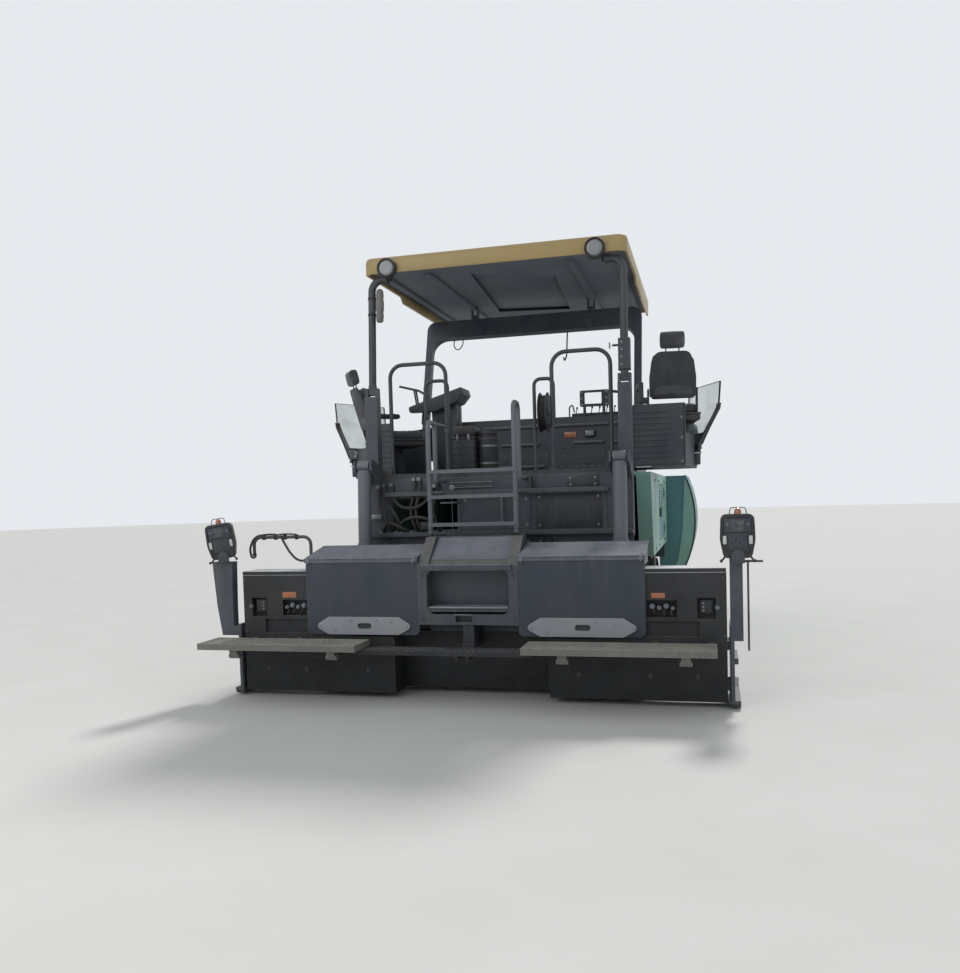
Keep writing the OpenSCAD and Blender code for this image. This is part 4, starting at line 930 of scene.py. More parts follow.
def cover_shell():
    """Rear sheet with turned edges, cheeks under the lid, back sheet and hinge blocks, on the right."""
    x0, x1 = 0.3763, 1.275
    parts = [standing(pierced(rounded_box(x0, x1, 0.486, 1.050, 0.038), [], 0.012, 0.004), FACE + 0.012)]
    cheek = [(FACE + 0.002, 0.990), (-2.407, 0.990), (-2.407, 1.121), (FACE + 0.002, 1.048)]
    edge = [(FACE + 0.010, 0.520), (FACE + 0.034, 0.530), (FACE + 0.034, 1.035), (FACE + 0.010, 1.035)]
    for x in (x0, x1 - 0.012):
        parts += [side_plate(cheek, x, x + 0.012), side_plate(edge, x + 0.001, x + 0.011)]
    parts.append(block((x0, -2.417, 0.480), (x1, -2.405, 1.122), 0.002, 1))
    parts += [block((x, -2.405, 1.080), (x + 0.10, -2.379, 1.1217), 0.003, 1) for x in (0.436, 1.115)]
    parts += [block((x0 + 0.02, FACE + 0.012, z), (x1 - 0.02, FACE + 0.030, z + 0.03), 0.002, 1)
              for z in (0.66, 0.86)]
    return gathered(parts)


def make_covers():
    """Covers with their grip plates, and the bent tube on the left that guides cables out."""
    covers = Piece("screed_covers", "screed", COVER)
    covers.add(both(cover_shell))
    for x, wide, high in ((-0.815, 0.74, 0.138), (0.828, 0.77, 0.140)):
        covers.add(grip_plate(x, wide, high), ZINC)
        # Painted shade: a thin dark sheet behind each oval grip hole, standing for the shade inside the hole
        covers.add(block((x - 0.05, FACE - 0.0005, 0.525), (x + 0.07, FACE - 0.0001, 0.580), 0.0), DARK)
    y = -2.590
    guide = [(-1.302, y, 1.0), (-1.302, y, 1.225), (-1.79, y, 1.225), (-1.79, y, 1.09)]
    covers.add(bent_tube(guide, 0.013), DARK_TUBE)
    covers.add(block((-1.307, y - 0.02, 1.004), (-1.275, y + 0.02, 1.050)), DARK)
    covers.add(rod((-1.79, y, 1.078), (-1.79, y, 1.10), 0.016, sides=16, bevel=0.003), RUBBER)
    for x in (-1.42, -1.52, -1.60, -1.70):
        covers.add(block((x - 0.012, y - 0.017, 1.205), (x + 0.012, y + 0.017, 1.246), 0.006), RUBBER)
    covers.done(["covers"])
    cables = Piece("guide_tube_cables", "screed", RUBBER)
    # radius, then x, distance behind the tube's middle and z of each point
    runs = [(0.009, [(-1.60, 0, 1.247), (-1.70, 0.004, 1.245), (-1.77, 0.006, 1.226), (-1.812, 0.006, 1.17),
                     (-1.822, 0.006, 1.11), (-1.800, 0.004, 1.065), (-1.776, 0, 1.085)]),
            (0.009, [(-1.55, 0.016, 1.238), (-1.51, 0.024, 1.17), (-1.455, 0.026, 1.09),
                     (-1.40, 0.022, 1.045), (-1.345, 0.012, 1.040), (-1.308, 0.004, 1.046)]),
            (0.007, [(-1.42, 0.012, 1.245), (-1.50, 0.015, 1.250), (-1.60, 0.012, 1.243)])]
    for r, line in runs:
        cables.add(hose([(x, y - behind, z) for x, behind, z in line], r))
    cables.done()


def lid_latch(x, z=1.041):
    """Round latch with its lever on the lip of a lid."""
    lever = block((x - 0.005, FACE - 0.022, z - 0.020), (x + 0.005, FACE - 0.014, z + 0.010), 0.002, 1)
    return gathered([rod((x, FACE - 0.010, z), (x, FACE - 0.017, z), 0.016, sides=20, bevel=0.002), lever])


def make_lids():
    """Lids in thin folded sheet: sloped top, turned lip, hinge tube, latches and buffers."""
    x0, x1 = 0.380, 1.283
    top = [(FACE - 0.010, 1.052), (FACE - 0.010, 1.062), (FACE + 0.010, 1.068), (-2.399, 1.140),
           (-2.399, 1.130)]
    buffers = [(FACE + 0.02, 1.069, 0.008), (-2.44, 1.131, 0.007)]
    for side in SIDES:
        lid = Piece("screed_lid_" + side, "lid_" + side, LID, flip=side == "left")
        lid.add(side_plate(top, x0, x1, 0.0015))
        lid.add(block((x0, FACE - 0.010, 1.030), (x1, FACE - 0.004, 1.058), 0.0015, 1))
        lid.add(rod((x0, -2.391, 1.132), (x1, -2.391, 1.132), 0.010, sides=16, bevel=0.002))
        for x in (x0 + 0.026, x1 - 0.032):
            lid.add(lid_latch(x), STEEL)
        for x, (y, z, high) in product((x0 + 0.02, x1 - 0.02), buffers):
            lid.add(rod((x, y, z), (x, y, z + high), 0.008, sides=12, bevel=0.002), STEEL)
        lid.done(["lid_" + side])


def teeth(spots, high, r, end, sides):
    """Raised teeth, as punched in a tread, at these places."""
    return gathered([shifted(rod((0, 0, 0), (0, 0, high), r, end=end, sides=sides), spot) for spot in spots])


def make_steps():
    """Loose parts of the middle block: dusty sloped plate, ledge, worn step edge, tread and small grips."""
    steps = Piece("step_plates", "screed", LID)
    slope = [(-2.683, 1.0375), (-2.466, 1.1905), (-2.466, 1.1945), (-2.683, 1.0415)]
    steps.add(side_plate(slope, -0.292, 0.292, 0.001))
    steps.add(block((-0.336, FACE - 0.031, 1.0035), (0.336, FACE + 0.018, 1.0075), 0.0015, 1))
    steps.add(block((-0.30, FACE + 0.004, 0.6915), (0.30, FACE + 0.150, 0.697), 0.0015, 1))
    edge = rod((-0.300, FACE + 0.010, 0.690), (0.300, FACE + 0.010, 0.690), 0.012, sides=16, bevel=0.003)
    steps.add(edge, STEEL)
    for y in (FACE + 0.035, FACE + 0.085):
        spots = [(-0.275 + i * 0.030, y + (i % 2) * 0.022, 0.6965) for i in range(19)]
        steps.add(teeth(spots, 0.006, 0.009, 0.006, 8), STEEL)
    spots = [(x, FACE - 0.020, 1.0075) for x in (-0.26, -0.09, 0.09, 0.26)]
    steps.add(bolts(spots, UPWARD, 0.008, 0.005), STEEL)
    corners = [(x, FACE - 0.004, z) for x, z in product((-0.346, 0.346), (0.61, 0.93))]
    steps.add(bolts(corners, REARWARD, 0.009, 0.006), DARK)
    grip = rod((-0.10, FACE - 0.012, 0.640), (0.035, FACE - 0.012, 0.640), 0.005, sides=10, bevel=0.001)
    steps.add(grip, STEEL)
    for x in (-0.098, 0.033):
        steps.add(rod((x, FACE - 0.004, 0.640), (x, FACE - 0.016, 0.640), 0.005, sides=10), STEEL)
    steps.done()


# Low and high corner, in x and z, of the reflector on each extension
REFLECTORS = {"left": ((1.371, 0.762), (1.487, 0.808)), "right": ((1.315, 0.760), (1.409, 0.797))}
EXTENSION_FACE = -2.735


def make_extension_fittings(side):
    """Lip painted near white as a highlight, reflector, sockets and hydraulic couplings in the pockets of an
    extension.
    """
    y = EXTENSION_FACE
    kit = Piece("extension_fittings_" + side, "extension_" + side, EDGE, flip=side == "left")
    # Painted highlight: the lip and a strip below it are near white for the light that they catch
    kit.add(block((0.916, y - 0.0035, 0.953), (1.817, -2.500, 0.9675), 0.0015, 1))
    kit.add(block((1.275, y - 0.0030, 0.936), (1.817, y + 0.002, 0.942), 0.0010, 1))
    (x0, z0), (x1, z1) = REFLECTORS[side]
    kit.add(block((x0, y - 0.003, z0), (x1, y + 0.004, z1)), AMBER)
    for x, z, r in [(1.320, 0.700, 0.020), (1.368, 0.690, 0.017), (1.415, 0.702, 0.020),
                    (1.460, 0.688, 0.015)]:
        kit.add(rod((x, y + 0.068, z), (x, y + 0.018, z), r, sides=20, bevel=0.003), STEEL)
        kit.add(rod((x, y + 0.020, z), (x, y + 0.004, z), r * 0.72, sides=6), STEEL)
    for x, z in [(1.332, 0.660), (1.40, 0.655), (1.45, 0.648)]:
        kit.add(hose([(x, y + 0.060, z + 0.03), (x, y + 0.020, z + 0.010), (x + 0.004, y + 0.014, z - 0.012),
                      (x + 0.012, y + 0.040, z - 0.026)], 0.007), RUBBER)
    kit.add(rod((1.760, y + 0.002, 0.694), (1.760, y - 0.003, 0.694), 0.024, sides=28, bevel=0.002), PLASTIC)
    kit.add(rod((1.760, y - 0.002, 0.694), (1.760, y - 0.004, 0.694), 0.013, sides=20, bevel=0.001), STEEL)
    kit.add(block((1.640, y + 0.030, 0.650), (1.730, y + 0.058, 0.745), 0.006), PLASTIC)
    for z, (x, r, finish) in product((0.672, 0.697, 0.722), ((1.665, 0.009, STEEL), (1.705, 0.007, DARK))):
        kit.add(rod((x, y + 0.032, z), (x, y + 0.024, z), r, sides=14, bevel=0.002), finish)
    spots = [(x, y, z) for x, z in product((0.955, 1.10, 1.245, 1.80), (0.50, 0.90))]
    kit.add(bolts(spots, REARWARD, 0.009, 0.006), DARK)
    kit.add(bolts([(x, y, 0.215) for x in (1.62, 1.30, 0.80)], REARWARD, 0.012), DARK)
    kit.done()


def make_boards():
    """Anti-slip teeth in rows, worn edge beads and hinge barrels on the walkway boards."""
    for side in SIDES:
        node = "board_" + side
        low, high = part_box(node)
        trim = Piece("board_treads_" + side, node, BOARD)
        count = int((high.x - low.x - 0.08) / 0.045)
        spots = [(low.x + 0.05 + i * 0.045 + (j % 2) * 0.022, low.y + 0.035 + j * 0.056, 0.4565)
                 for j, i in product(range(5), range(count))]
        trim.add(teeth(spots, 0.0025, 0.0085, 0.006, 6))
        for y in (low.y + 0.004, low.y + 0.258):
            trim.add(rod((low.x + 0.006, y, 0.4555), (high.x - 0.006, y, 0.4555), 0.0035, sides=8))
        y = low.y + 0.060
        for x in (low.x + 0.28, high.x - 0.30):
            trim.add(rod((x - 0.05, y, 0.362), (x + 0.05, y, 0.362), 0.009, sides=14, bevel=0.002), TARRED)
        trim.done()


# Deck, rear wall, console and posts

REAR_WALL, HOOD_REAR = -1.80, -0.1


def off_wall(*spots):
    """Points from their x, distance off the rear wall and z."""
    return [(x, REAR_WALL - away, z) for x, away, z in spots]


def raised(face, x0, x1, z0, z1, proud, bevel, steps=2):
    """Plate that stands proud of a rear face, from 1 mm inside it."""
    return block((x0, face - proud, z0), (x1, face + 0.001, z1), bevel, steps)


def corner_spots(x0, x1, y, z0, z1):
    return [(x, y, z) for x, z in product((x0, x1), (z0, z1))]


def shelf(half, z, deep=0.088):
    """Folded shelf on the rear wall, with a turned-up lip."""
    lip = REAR_WALL - deep
    return gathered([block((-half, lip, z + 0.022), (half, REAR_WALL - 0.001, z + 0.026), 0.001, 1),
                     block((-half, lip - 0.003, z), (half, lip + 0.003, z + 0.034), 0.0015, 1)])


def make_rear_wall():
    """Shelves, seams, hatch covers, rods, hoses with their nuts, a handle and bolts on the rear wall."""
    trim = Piece("rear_wall_trim", "tractor", SLATE)
    trim.add(shelf(1.12, 1.180))
    trim.add(shelf(0.935, 1.520))
    for x in (-0.92, -0.30, 0.30, 0.92):
        trim.add(raised(REAR_WALL, x - 0.004, x + 0.004, 1.210, 1.515, 0.005, 0.001, 1), DARK)
    for x0, x1, z0, z1 in [(-0.29, 0.29, 1.23, 1.50), (-1.00, -0.34, 0.72, 1.15), (-0.30, 0.30, 0.72, 1.15),
                           (0.34, 1.00, 0.72, 1.15)]:
        trim.add(frame_plate(x0, x1, z0, z1, 0.025, 0.012, 0.018, 0.004, REAR_WALL - 0.0005))
        spots = corner_spots(x0 + 0.03, x1 - 0.03, REAR_WALL, z0 + 0.03, z1 - 0.03)
        trim.add(bolts(spots, REARWARD, 0.008, 0.005), STEEL)
    for z in (1.62, 1.58):
        trim.add(rod(*off_wall((-0.38, 0.012, z), (-0.02, 0.012, z)), 0.006, sides=10), TUBE)
    for x in (-0.62, -0.56, 0.46):
        trim.add(hose(off_wall((x, 0.01, 1.14), (x - 0.02, 0.07, 1.08), (x - 0.05, 0.08, 0.92),
                               (x - 0.02, 0.05, 0.80), (x + 0.03, 0.006, 0.76)), 0.016), RUBBER)
    for x, low in [(-0.70, 1.25), (-0.655, 1.24), (-0.50, 1.26)]:
        trim.add(hose(off_wall((x, 0.012, 1.66), (x + 0.015, 0.055, 1.56), (x - 0.02, 0.062, 1.40),
                               (x + 0.01, 0.040, low), (x + 0.02, 0.010, 1.212)), 0.013), RUBBER)
        trim.add(rod(*off_wall((x, 0.002, 1.66), (x, 0.030, 1.66)), 0.019, sides=6), STEEL)
    handle = [(-0.46, 0.002), (-0.46, 0.050), (-0.33, 0.050), (-0.33, 0.002)]
    trim.add(bent_tube(off_wall(*[(x, away, 1.455) for x, away in handle]), 0.008, 0.02, 10), TUBE)
    trim.add(bolts(corner_spots(-1.09, 1.09, REAR_WALL, 0.80, 1.00), REARWARD), STEEL)
    trim.done()


def make_filter():
    """Moulded air filter box with rounded lid and clips, and its round outlet with a rain cap."""
    unit = Piece("air_filter_housing", "tractor", PLASTIC)
    # how far each part reaches past the box, its foot and top, bevel and its steps
    for past, z0, z1, bevel, steps in [(0.0, 1.700, 2.010, 0.022, 3), (0.005, 2.004, 2.024, 0.006, 2),
                                       (-0.002, 2.020, 2.120, 0.040, 4)]:
        unit.add(block((-0.45 - past, -1.48 - past, z0), (-0.25 + past, -1.21 + past, z1), bevel, steps))
    for z in (1.76, 1.815, 1.87, 1.925):
        unit.add(block((-0.452, -1.482, z), (-0.248, -1.208, z + 0.015), 0.004))
    for x in (-0.40, -0.30):
        unit.add(block((x - 0.010, -1.490, 1.985), (x + 0.010, -1.480, 2.045)), STEEL)
    x, y = -0.16, -1.345
    can = [(0.0, 0.0), (0.0, 0.080), (0.02, 0.088), (0.30, 0.088), (0.31, 0.080), (0.335, 0.080),
           (0.345, 0.088), (0.372, 0.084), (0.38, 0.0)]
    unit.add(turned((x, y, 1.70), (x, y, 2.08), can, 36))
    strap = [(0.0, 0.087), (0.002, 0.0905), (0.018, 0.0905), (0.02, 0.087)]
    for z in (1.78, 1.93):
        unit.add(turned((x, y, z), (x, y, z + 0.02), strap, 36), STEEL)
    unit.add(rod((-0.262, y, 2.0), (-0.19, y, 2.0), 0.034, sides=24, bevel=0.006), RUBBER)
    unit.done(["air_filter"])


def make_handrails():
    """Bent tube hoops with welded feet, a cross bar, and the round hose drum with its flanges and coils."""
    foot, y = 1.70, REAR_WALL + 0.09
    rails = Piece("hand_hoops", "tractor", DARK_TUBE)
    # place along y, both x, top, bend and radius of each hoop
    for at, x0, x1, top, bend, r in [(y, -0.92, -0.424, 2.640, 0.11, 0.017),
                                     (y + 0.1, -0.64, -0.44, 2.500, 0.06, 0.015),
                                     (y, 0.48, 0.96, 2.660, 0.12, 0.017)]:
        rails.add(bent_tube([(x0, at, foot), (x0, at, top), (x1, at, top), (x1, at, foot)], r, bend, 18))
        weld = [(0.0, 0.0), (0.0, r * 2.2), (0.008, r * 2.2), (0.012, r * 1.1), (0.012, 0.0)]
        for x in (x0, x1):
            rails.add(turned((x, at, foot), (x, at, foot + 0.012), weld, 20))
    y += 0.07
    short = [(0.318, y, foot), (0.318, y, 2.46), (0.48, y, 2.46), (0.48, y, 2.08)]
    rails.add(bent_tube(short, 0.015, 0.055, 16))
    rails.add(block((0.316, y - 0.01, 2.06), (0.47, y + 0.012, 2.09), 0.004))
    flange = [(0.0, 0.0), (0.0, 0.165), (0.006, 0.165), (0.010, 0.150), (0.010, 0.125)]
    drum = flange + [(0.068 - run, r) for run, r in reversed(flange)]
    rails.add(turned((0.368, y, 2.18), (0.436, y, 2.18), drum, 48), PLASTIC)
    coil = [(0.0, 0.120), (0.0, 0.139), (0.005, 0.144), (0.010, 0.139), (0.0105, 0.120)]
    for i in range(4):
        x = 0.382 + i * 0.0105
        rails.add(turned((x, y, 2.18), (x + 0.0105, y, 2.18), coil, 40), RUBBER)
    rails.add(rod((0.360, y, 2.18), (0.444, y, 2.18), 0.03, sides=20, bevel=0.004))
    rails.done(["handrails"])


def make_ladder_treads():
    """Gripped rungs, clamps and feet of the ladder."""
    ladder = Piece("ladder_grips", "tractor", STEEL)
    y = -2.215
    rungs = (1.27, 1.49, 1.69)
    for z, i in product(rungs, range(16)):
        x = -0.39 + i * 0.04
        ladder.add(block((x, y - 0.019, z + 0.006), (x + 0.022, y + 0.019, z + 0.0215), 0.002, 1))
    foot = [(0.0, 0.0), (0.0, 0.021), (0.004, 0.023), (0.030, 0.023), (0.033, 0.0195), (0.033, 0.0)]
    clamp = [(0.0, 0.0195), (0.004, 0.0225), (0.040, 0.0225), (0.044, 0.0195)]
    for x in (-0.434, 0.260):
        ladder.add(turned((x, y, 1.182), (x, y, 1.215), foot, 20), RUBBER)
        for z in rungs:
            ladder.add(turned((x, y, z - 0.022), (x, y, z + 0.022), clamp, 20), TUBE)
    ladder.done()


# The desk's low and high edges, and how far its keypad's end lies behind them
DESK_LOW, DESK_HIGH, DESK_BACK = Vector((-1.195, 0.0, 2.415)), Vector((-0.640, 0.0, 2.588)), 0.300


def desk_place():
    """Place on the tilted desk top: X to the front, Y down its slope to the left, Z out of it."""
    ahead = Vector((0.0, 1.0, 0.0))
    up_slope = (DESK_HIGH - DESK_LOW).normalized()
    turn = Matrix((ahead, -up_slope, up_slope.cross(ahead))).transposed().to_4x4()
    return Matrix.Translation(DESK_LOW - ahead * DESK_BACK) @ turn


def make_console():
    """Driver's desk tilted towards the left seat: moulded body, keypads, display, levers and hand rail."""
    desk = Piece("driver_desk", "console", PLASTIC)
    right = [(-0.640, 2.5865), (-0.6225, 2.5215), (-0.690, 2.441), (-0.905, 2.361)]
    body = [(-1.192, 2.414)] + right + [(-1.184, 2.3595)]
    short = [(-0.984, 2.479)] + right + [(-0.984, 2.3602)]
    skirt = [(-0.980, 2.362), (-0.715, 2.432), (-0.742, 1.712), (-0.910, 1.712), (-0.965, 2.050)]
    inset = [(-0.93, 2.30), (-0.76, 2.345), (-0.785, 1.80), (-0.885, 1.80), (-0.925, 2.06)]
    desk.add(cross_plate(body, -0.459, -0.3505, 0.009, 3), POD)
    desk.add(cross_plate(short, -0.360, -0.141, 0.009, 3), POD)
    desk.add(block((-0.888, -0.289, 1.708), (-0.712, -0.181, 2.43), 0.014, 3), POD)
    desk.add(cross_plate(skirt, -0.365, -0.291, 0.008, 3), POD)
    desk.add(cross_plate(inset, -0.3675, -0.3645))
    for z in (1.95, 2.15):
        desk.add(block((-0.8895, -0.2898, z), (-0.7105, -0.1802, z + 0.006), 0.002, 1))
    place, end = desk_place(), -(DESK_HIGH - DESK_LOW).length
    desk.add(block((-0.150, end + 0.012, -0.010), (-0.056, -0.012, 0.0005), 0.004), PLASTIC, place)
    desk.add(block((-0.135, end + 0.06, 0.000), (-0.066, end + 0.24, 0.0011), 0.0005, 1), SCREEN, place)
    for i, j in product(range(5), range(2)):
        x, y = -0.115 + j * 0.036, end + 0.28 + i * 0.042
        key = block((x, y, 0.0), (x + 0.022, y + 0.024, 0.0015), 0.0006, 1)
        desk.add(key, WHITE if (i + j) % 3 == 0 else STEEL, place)
    for y in (-0.442, -0.378):
        lever = [(-1.108, y, 2.43), (-1.132, y, 2.5875), (-1.132, y + 0.001, 2.588)]
        desk.add(bent_tube(lever, 0.009, 0.004, 12), DARK_TUBE)
    desk.add(rod((-1.132, -0.446, 2.588), (-1.132, -0.364, 2.588), 0.0105, sides=14, bevel=0.003), DARK_TUBE)
    rail = [(-0.985, 2.465), (-1.000, 2.525), (-1.085, 2.575), (-1.285, 2.628)]
    desk.add(bent_tube([(x, -0.440, z) for x, z in rail], 0.0115, 0.05), DARK_TUBE)
    desk.done(["console"])


# Foot and top of the rear posts, which lean forward
POST_FOOT, POST_TOP = Vector((0, -1.73, 2.42)), Vector((0, -1.66, 3.385))


def up_post(x, run, back=0.0):
    """Point at this x, so far up the post's line and so far behind it."""
    spot = POST_FOOT + (POST_TOP - POST_FOOT).normalized() * run
    return (x, spot.y + back, spot.z)


def make_posts():
    """Rear posts: fold clevis, clamp with ring pin on the right, rolled cover on the left."""
    posts = Piece("rear_post_fittings", "rear_posts", DARK_TUBE)
    posts.add(rod(up_post(1.075, 0.060), up_post(1.075, 0.075), 0.052, bevel=0.004))
    posts.add(rod(up_post(1.075, 0.295), up_post(1.075, 0.31), 0.050, bevel=0.004))
    spots = [up_post(1.057, run, -0.040) for run in (0.10, 0.16, 0.22, 0.28)]
    posts.add(bolts(spots, REARWARD, 0.008, 0.006), STEEL)
    ring = [(0.0, 0.018), (0.0, 0.026), (0.007, 0.026), (0.007, 0.018), (0.0, 0.018)]
    posts.add(turned(up_post(0.955, 0.262), up_post(0.962, 0.262), ring, 28), STEEL)
    posts.add(rod(up_post(0.975, 0.262), up_post(1.03, 0.262), 0.0055, sides=12), STEEL)
    strap = [(0.0, 0.033), (0.002, 0.036), (0.018, 0.036), (0.02, 0.033)]
    for run in (0.66, 0.80):
        posts.add(turned(up_post(-1.075, run), up_post(-1.075, run + 0.02), strap, 24), RUBBER)
    posts.done()
    roll = Piece("rolled_side_cover", "rear_posts", CANVAS)
    form = [(0.0, 0.0), (0.0, 0.020), (0.01, 0.030), (0.06, 0.034), (0.085, 0.030), (0.11, 0.035),
            (0.17, 0.036), (0.20, 0.031), (0.23, 0.034), (0.27, 0.030), (0.285, 0.018), (0.287, 0.0)]
    roll.add(turned(up_post(-1.0, 0.60, -0.01), up_post(-1.0, 0.887, -0.01), form, 28))
    roll.done()


# Hood, pods, hopper, tracks and screed trim

def make_hood_trim():
    """Rails, reflector, lamp and seams on the hood's rear face, and fins in its grilles."""
    trim = Piece("hood_trim", "tractor", SHEET)
    for x0, x1, z in [(-0.517, 0.762, 2.188), (0.81, 0.90, 2.191), (-0.331, 0.064, 2.010),
                      (0.41, 0.717, 2.013), (0.795, 0.907, 2.010), (-0.439, 0.12, 1.788),
                      (-0.466, -0.15, 1.746)]:
        trim.add(raised(HOOD_REAR, x0, x1, z - 0.013, z + 0.013, 0.034, 0.004), TUBE)
    for i in range(6):
        x = 0.27 + i * 0.075
        trim.add(raised(HOOD_REAR, x, x + 0.045, 1.764, 1.776, 0.010, 0.002, 1), STEEL)
    trim.add(raised(HOOD_REAR, 0.321, 0.441, 2.058, 2.120, 0.012, 0.004), AMBER)
    trim.add(raised(HOOD_REAR, 0.528, 0.628, 2.062, 2.130, 0.040, 0.010, 3), PLASTIC)
    trim.add(block((0.536, HOOD_REAR - 0.0435, 2.069), (0.620, HOOD_REAR - 0.038, 2.123)), LAMP)
    for x in (-0.785, -0.20, 0.22, 0.78):
        trim.add(raised(HOOD_REAR, x - 0.003, x + 0.003, 1.72, 2.262, 0.0025, 0.0008, 1), DARK)
    for x0, x1, z0, z1 in [(-0.76, -0.60, 2.10, 2.23), (-0.70, -0.27, 1.82, 1.97), (-0.14, 0.16, 1.82, 1.97),
                           (0.28, 0.72, 1.80, 1.97)]:
        trim.add(frame_plate(x0, x1, z0, z1, 0.016, 0.010, 0.010, 0.005, HOOD_REAR - 0.0005))
        spots = [(x, HOOD_REAR, (z0 + z1) / 2) for x in (x0 + 0.022, x1 - 0.022)]
        trim.add(bolts(spots, REARWARD, 0.006, 0.004), STEEL)
    slant = Matrix.Rotation(math.radians(38), 4, "Y")

    def side_grille():
        fins = []
        for i, j in product(range(8), range(10)):
            fin = block((-0.007, 0.001, -0.002), (0.007, 0.054, 0.002), 0.0)
            bmesh.ops.transform(fin, matrix=slant, verts=fin.verts)
            fins.append(shifted(fin, (1.024, 0.160 + i * 0.105, 1.846 + j * 0.0295)))
        return gathered(fins + [block((1.029, -0.06, 1.782), (1.0314, 1.12, 1.786), 0.0005, 1)])

    trim.add(both(side_grille), DARK)
    for y in (0.02, 1.03):
        trim.add(both(lambda: block((1.024, y, 1.735), (1.038, y + 0.09, 1.775), 0.004)), PLASTIC)
    for i in range(19):
        x = -0.4985 + i * 0.0554
        trim.add(block((x, 0.179, 2.2575), (x + 0.004, 0.846, 2.268), 0.0), DARK)
    for x, y in product((-0.9, 0.9), (0.05, 0.95)):
        trim.add(rod((x, y, 2.2695), (x, y, 2.274), 0.012, sides=6), STEEL)
    trim.done()


def make_display_frame():
    """Bolted frame of the small monitor on the hood's rear edge, its bar and a row of small levers."""
    stand = Piece("monitor_frame", "tractor", DARK)
    around = rounded_box(0.485, 0.770, 2.360, 2.520, 0.012)
    window = rounded_box(0.532, 0.700, 2.386, 2.498, 0.008)
    stand.add(standing(pierced(around, [window], 0.024, 0.002), -0.092))
    spots = [(x, -0.116, z) for x, z in product((0.505, 0.750), (2.378, 2.440, 2.502))]
    stand.add(bolts(spots, REARWARD, 0.009, 0.007), STEEL)
    stand.add(rod((0.765, -0.104, 2.505), (0.985, -0.104, 2.470), 0.014, sides=14, bevel=0.003))
    stand.add(block((0.955, -0.118, 2.270), (0.985, -0.090, 2.485), 0.004))
    stand.add(block((0.940, -0.094, 2.2705), (1.000, -0.040, 2.279), 0.002, 1))
    for x in (0.53, 0.72):
        stand.add(block((x - 0.014, -0.112, 2.272), (x + 0.014, -0.094, 2.366)))
        stand.add(block((x - 0.02, -0.108, 2.2705), (x + 0.02, -0.045, 2.279), 0.002, 1))
    stand.add(block((0.40, -0.096, 2.2705), (0.90, -0.046, 2.300), 0.004), PLASTIC)
    knob = [(0.0, 0.0), (0.0, 0.008), (0.014, 0.010), (0.020, 0.006), (0.021, 0.0)]
    for i in range(6):
        x = 0.44 + i * 0.075
        stand.add(rod((x, -0.072, 2.298), (x + 0.012, -0.092, 2.345), 0.0045, sides=10), STEEL)
        stand.add(turned((x + 0.012, -0.092, 2.342), (x + 0.016, -0.098, 2.362), knob, 14), PLASTIC)
    hook = [(0.375, 2.272), (0.375, 2.36), (0.405, 2.395), (0.425, 2.31)]
    stand.add(bent_tube([(x, -0.085, z) for x, z in hook], 0.007, 0.02, 10))
    stand.done()


def make_pods():
    """Rubber frames, seams and bolts of the seat pods, near white strips and spots painted on as highlights,
    and the edges of their screens.
    """
    # the swept screen of the right pod: X outwards, Y along it
    sweep = Matrix.Translation((1.615, -0.855, 0.0)) @ Matrix.Rotation(math.radians(24), 4, "Z")
    for side, end, top in (("left", 1.290, 2.190), ("right", 1.530, 2.240)):
        trim = Piece("pod_trim_" + side, "pod_" + side, POD, flip=side == "left")
        for y in (-0.062, 0.598):
            seal = [(0.190, 2.2625), (0.020, 1.905), (0.030, 1.900), (0.212, 2.262)]
            trim.add(cross_plate(seal, y, y + 0.044, 0.003, 2), RUBBER, sweep)
        sill = [(0.048, 1.990), (0.080, 2.004), (0.072, 2.012), (0.044, 2.004)]
        trim.add(cross_plate(sill, -0.058, 0.638, 0.003, 2), RUBBER, sweep)
        for y in (-0.0505, 0.6245):
            edge = [(0.183, 2.262), (0.199, 2.262), (0.2152, 2.452), (0.1992, 2.452)]
            trim.add(cross_plate(edge, y, y + 0.006, 0.001, 1), RUBBER, sweep)
        trim.add(block((0.1985, -0.050, 2.4515), (0.2152, 0.630, 2.4545), 0.001, 1), RUBBER, sweep)
        spots = [(0.0205, 0.06 + i * 0.13, 1.76) for i in range(4)]
        trim.add(bolts(spots, OUTWARD, 0.008, 0.005), STEEL, sweep)
        # Painted highlights: near white strips on the pod edges
        trim.add(block((1.594, -0.886, 1.824), (1.656, -0.879, 1.836), 0.001, 1), EDGE)
        trim.add(block((1.113, -1.2535, 1.7075), (1.240, -1.2495, 1.717), 0.001, 1), EDGE)
        for x in (1.10, end - 0.012):
            strip = block((x - 0.005, -1.2525, 1.735), (x + 0.005, -1.2495, top - 0.012), 0.0015, 1)
            trim.add(strip, PLASTIC)
        trim.add(block((1.092, -1.251, top - 0.010), (end, -1.190, top + 0.002), 0.006, 3))
        trim.add(block((1.092, -1.2535, 1.7265), (end, -1.2495, 1.735), 0.002, 1), PLASTIC)
        # Painted highlights: near white spots on the right pod
        for x, z in ((1.577, 1.955), (1.585, 1.925)):
            trim.add(rod((x, -0.926, z), (x, -0.918, z), 0.009, sides=12, bevel=0.002), EDGE)
        knee = ([(1.000, 1.722), (1.595, 1.722), (1.640, 1.840), (1.640, 1.960)]
                + arc((1.560, 2.070), 0.060, 20, 90, 4) + arc((1.060, 2.130), 0.060, 90, 180, 4))
        trim.add(cross_plate(knee, -0.386, -0.374, 0.003, 2))
        bar = [(1.012, -0.380, 1.73), (1.012, -0.380, 2.192), (1.560, -0.380, 2.140)]
        trim.add(bent_tube(bar, 0.010, 0.05, 12), PLASTIC)
        spots = [(end - 0.03, -1.2505, z) for z in (1.75, 1.95, 2.12)]
        trim.add(bolts(spots, REARWARD, 0.008, 0.005), STEEL)
        trim.done()


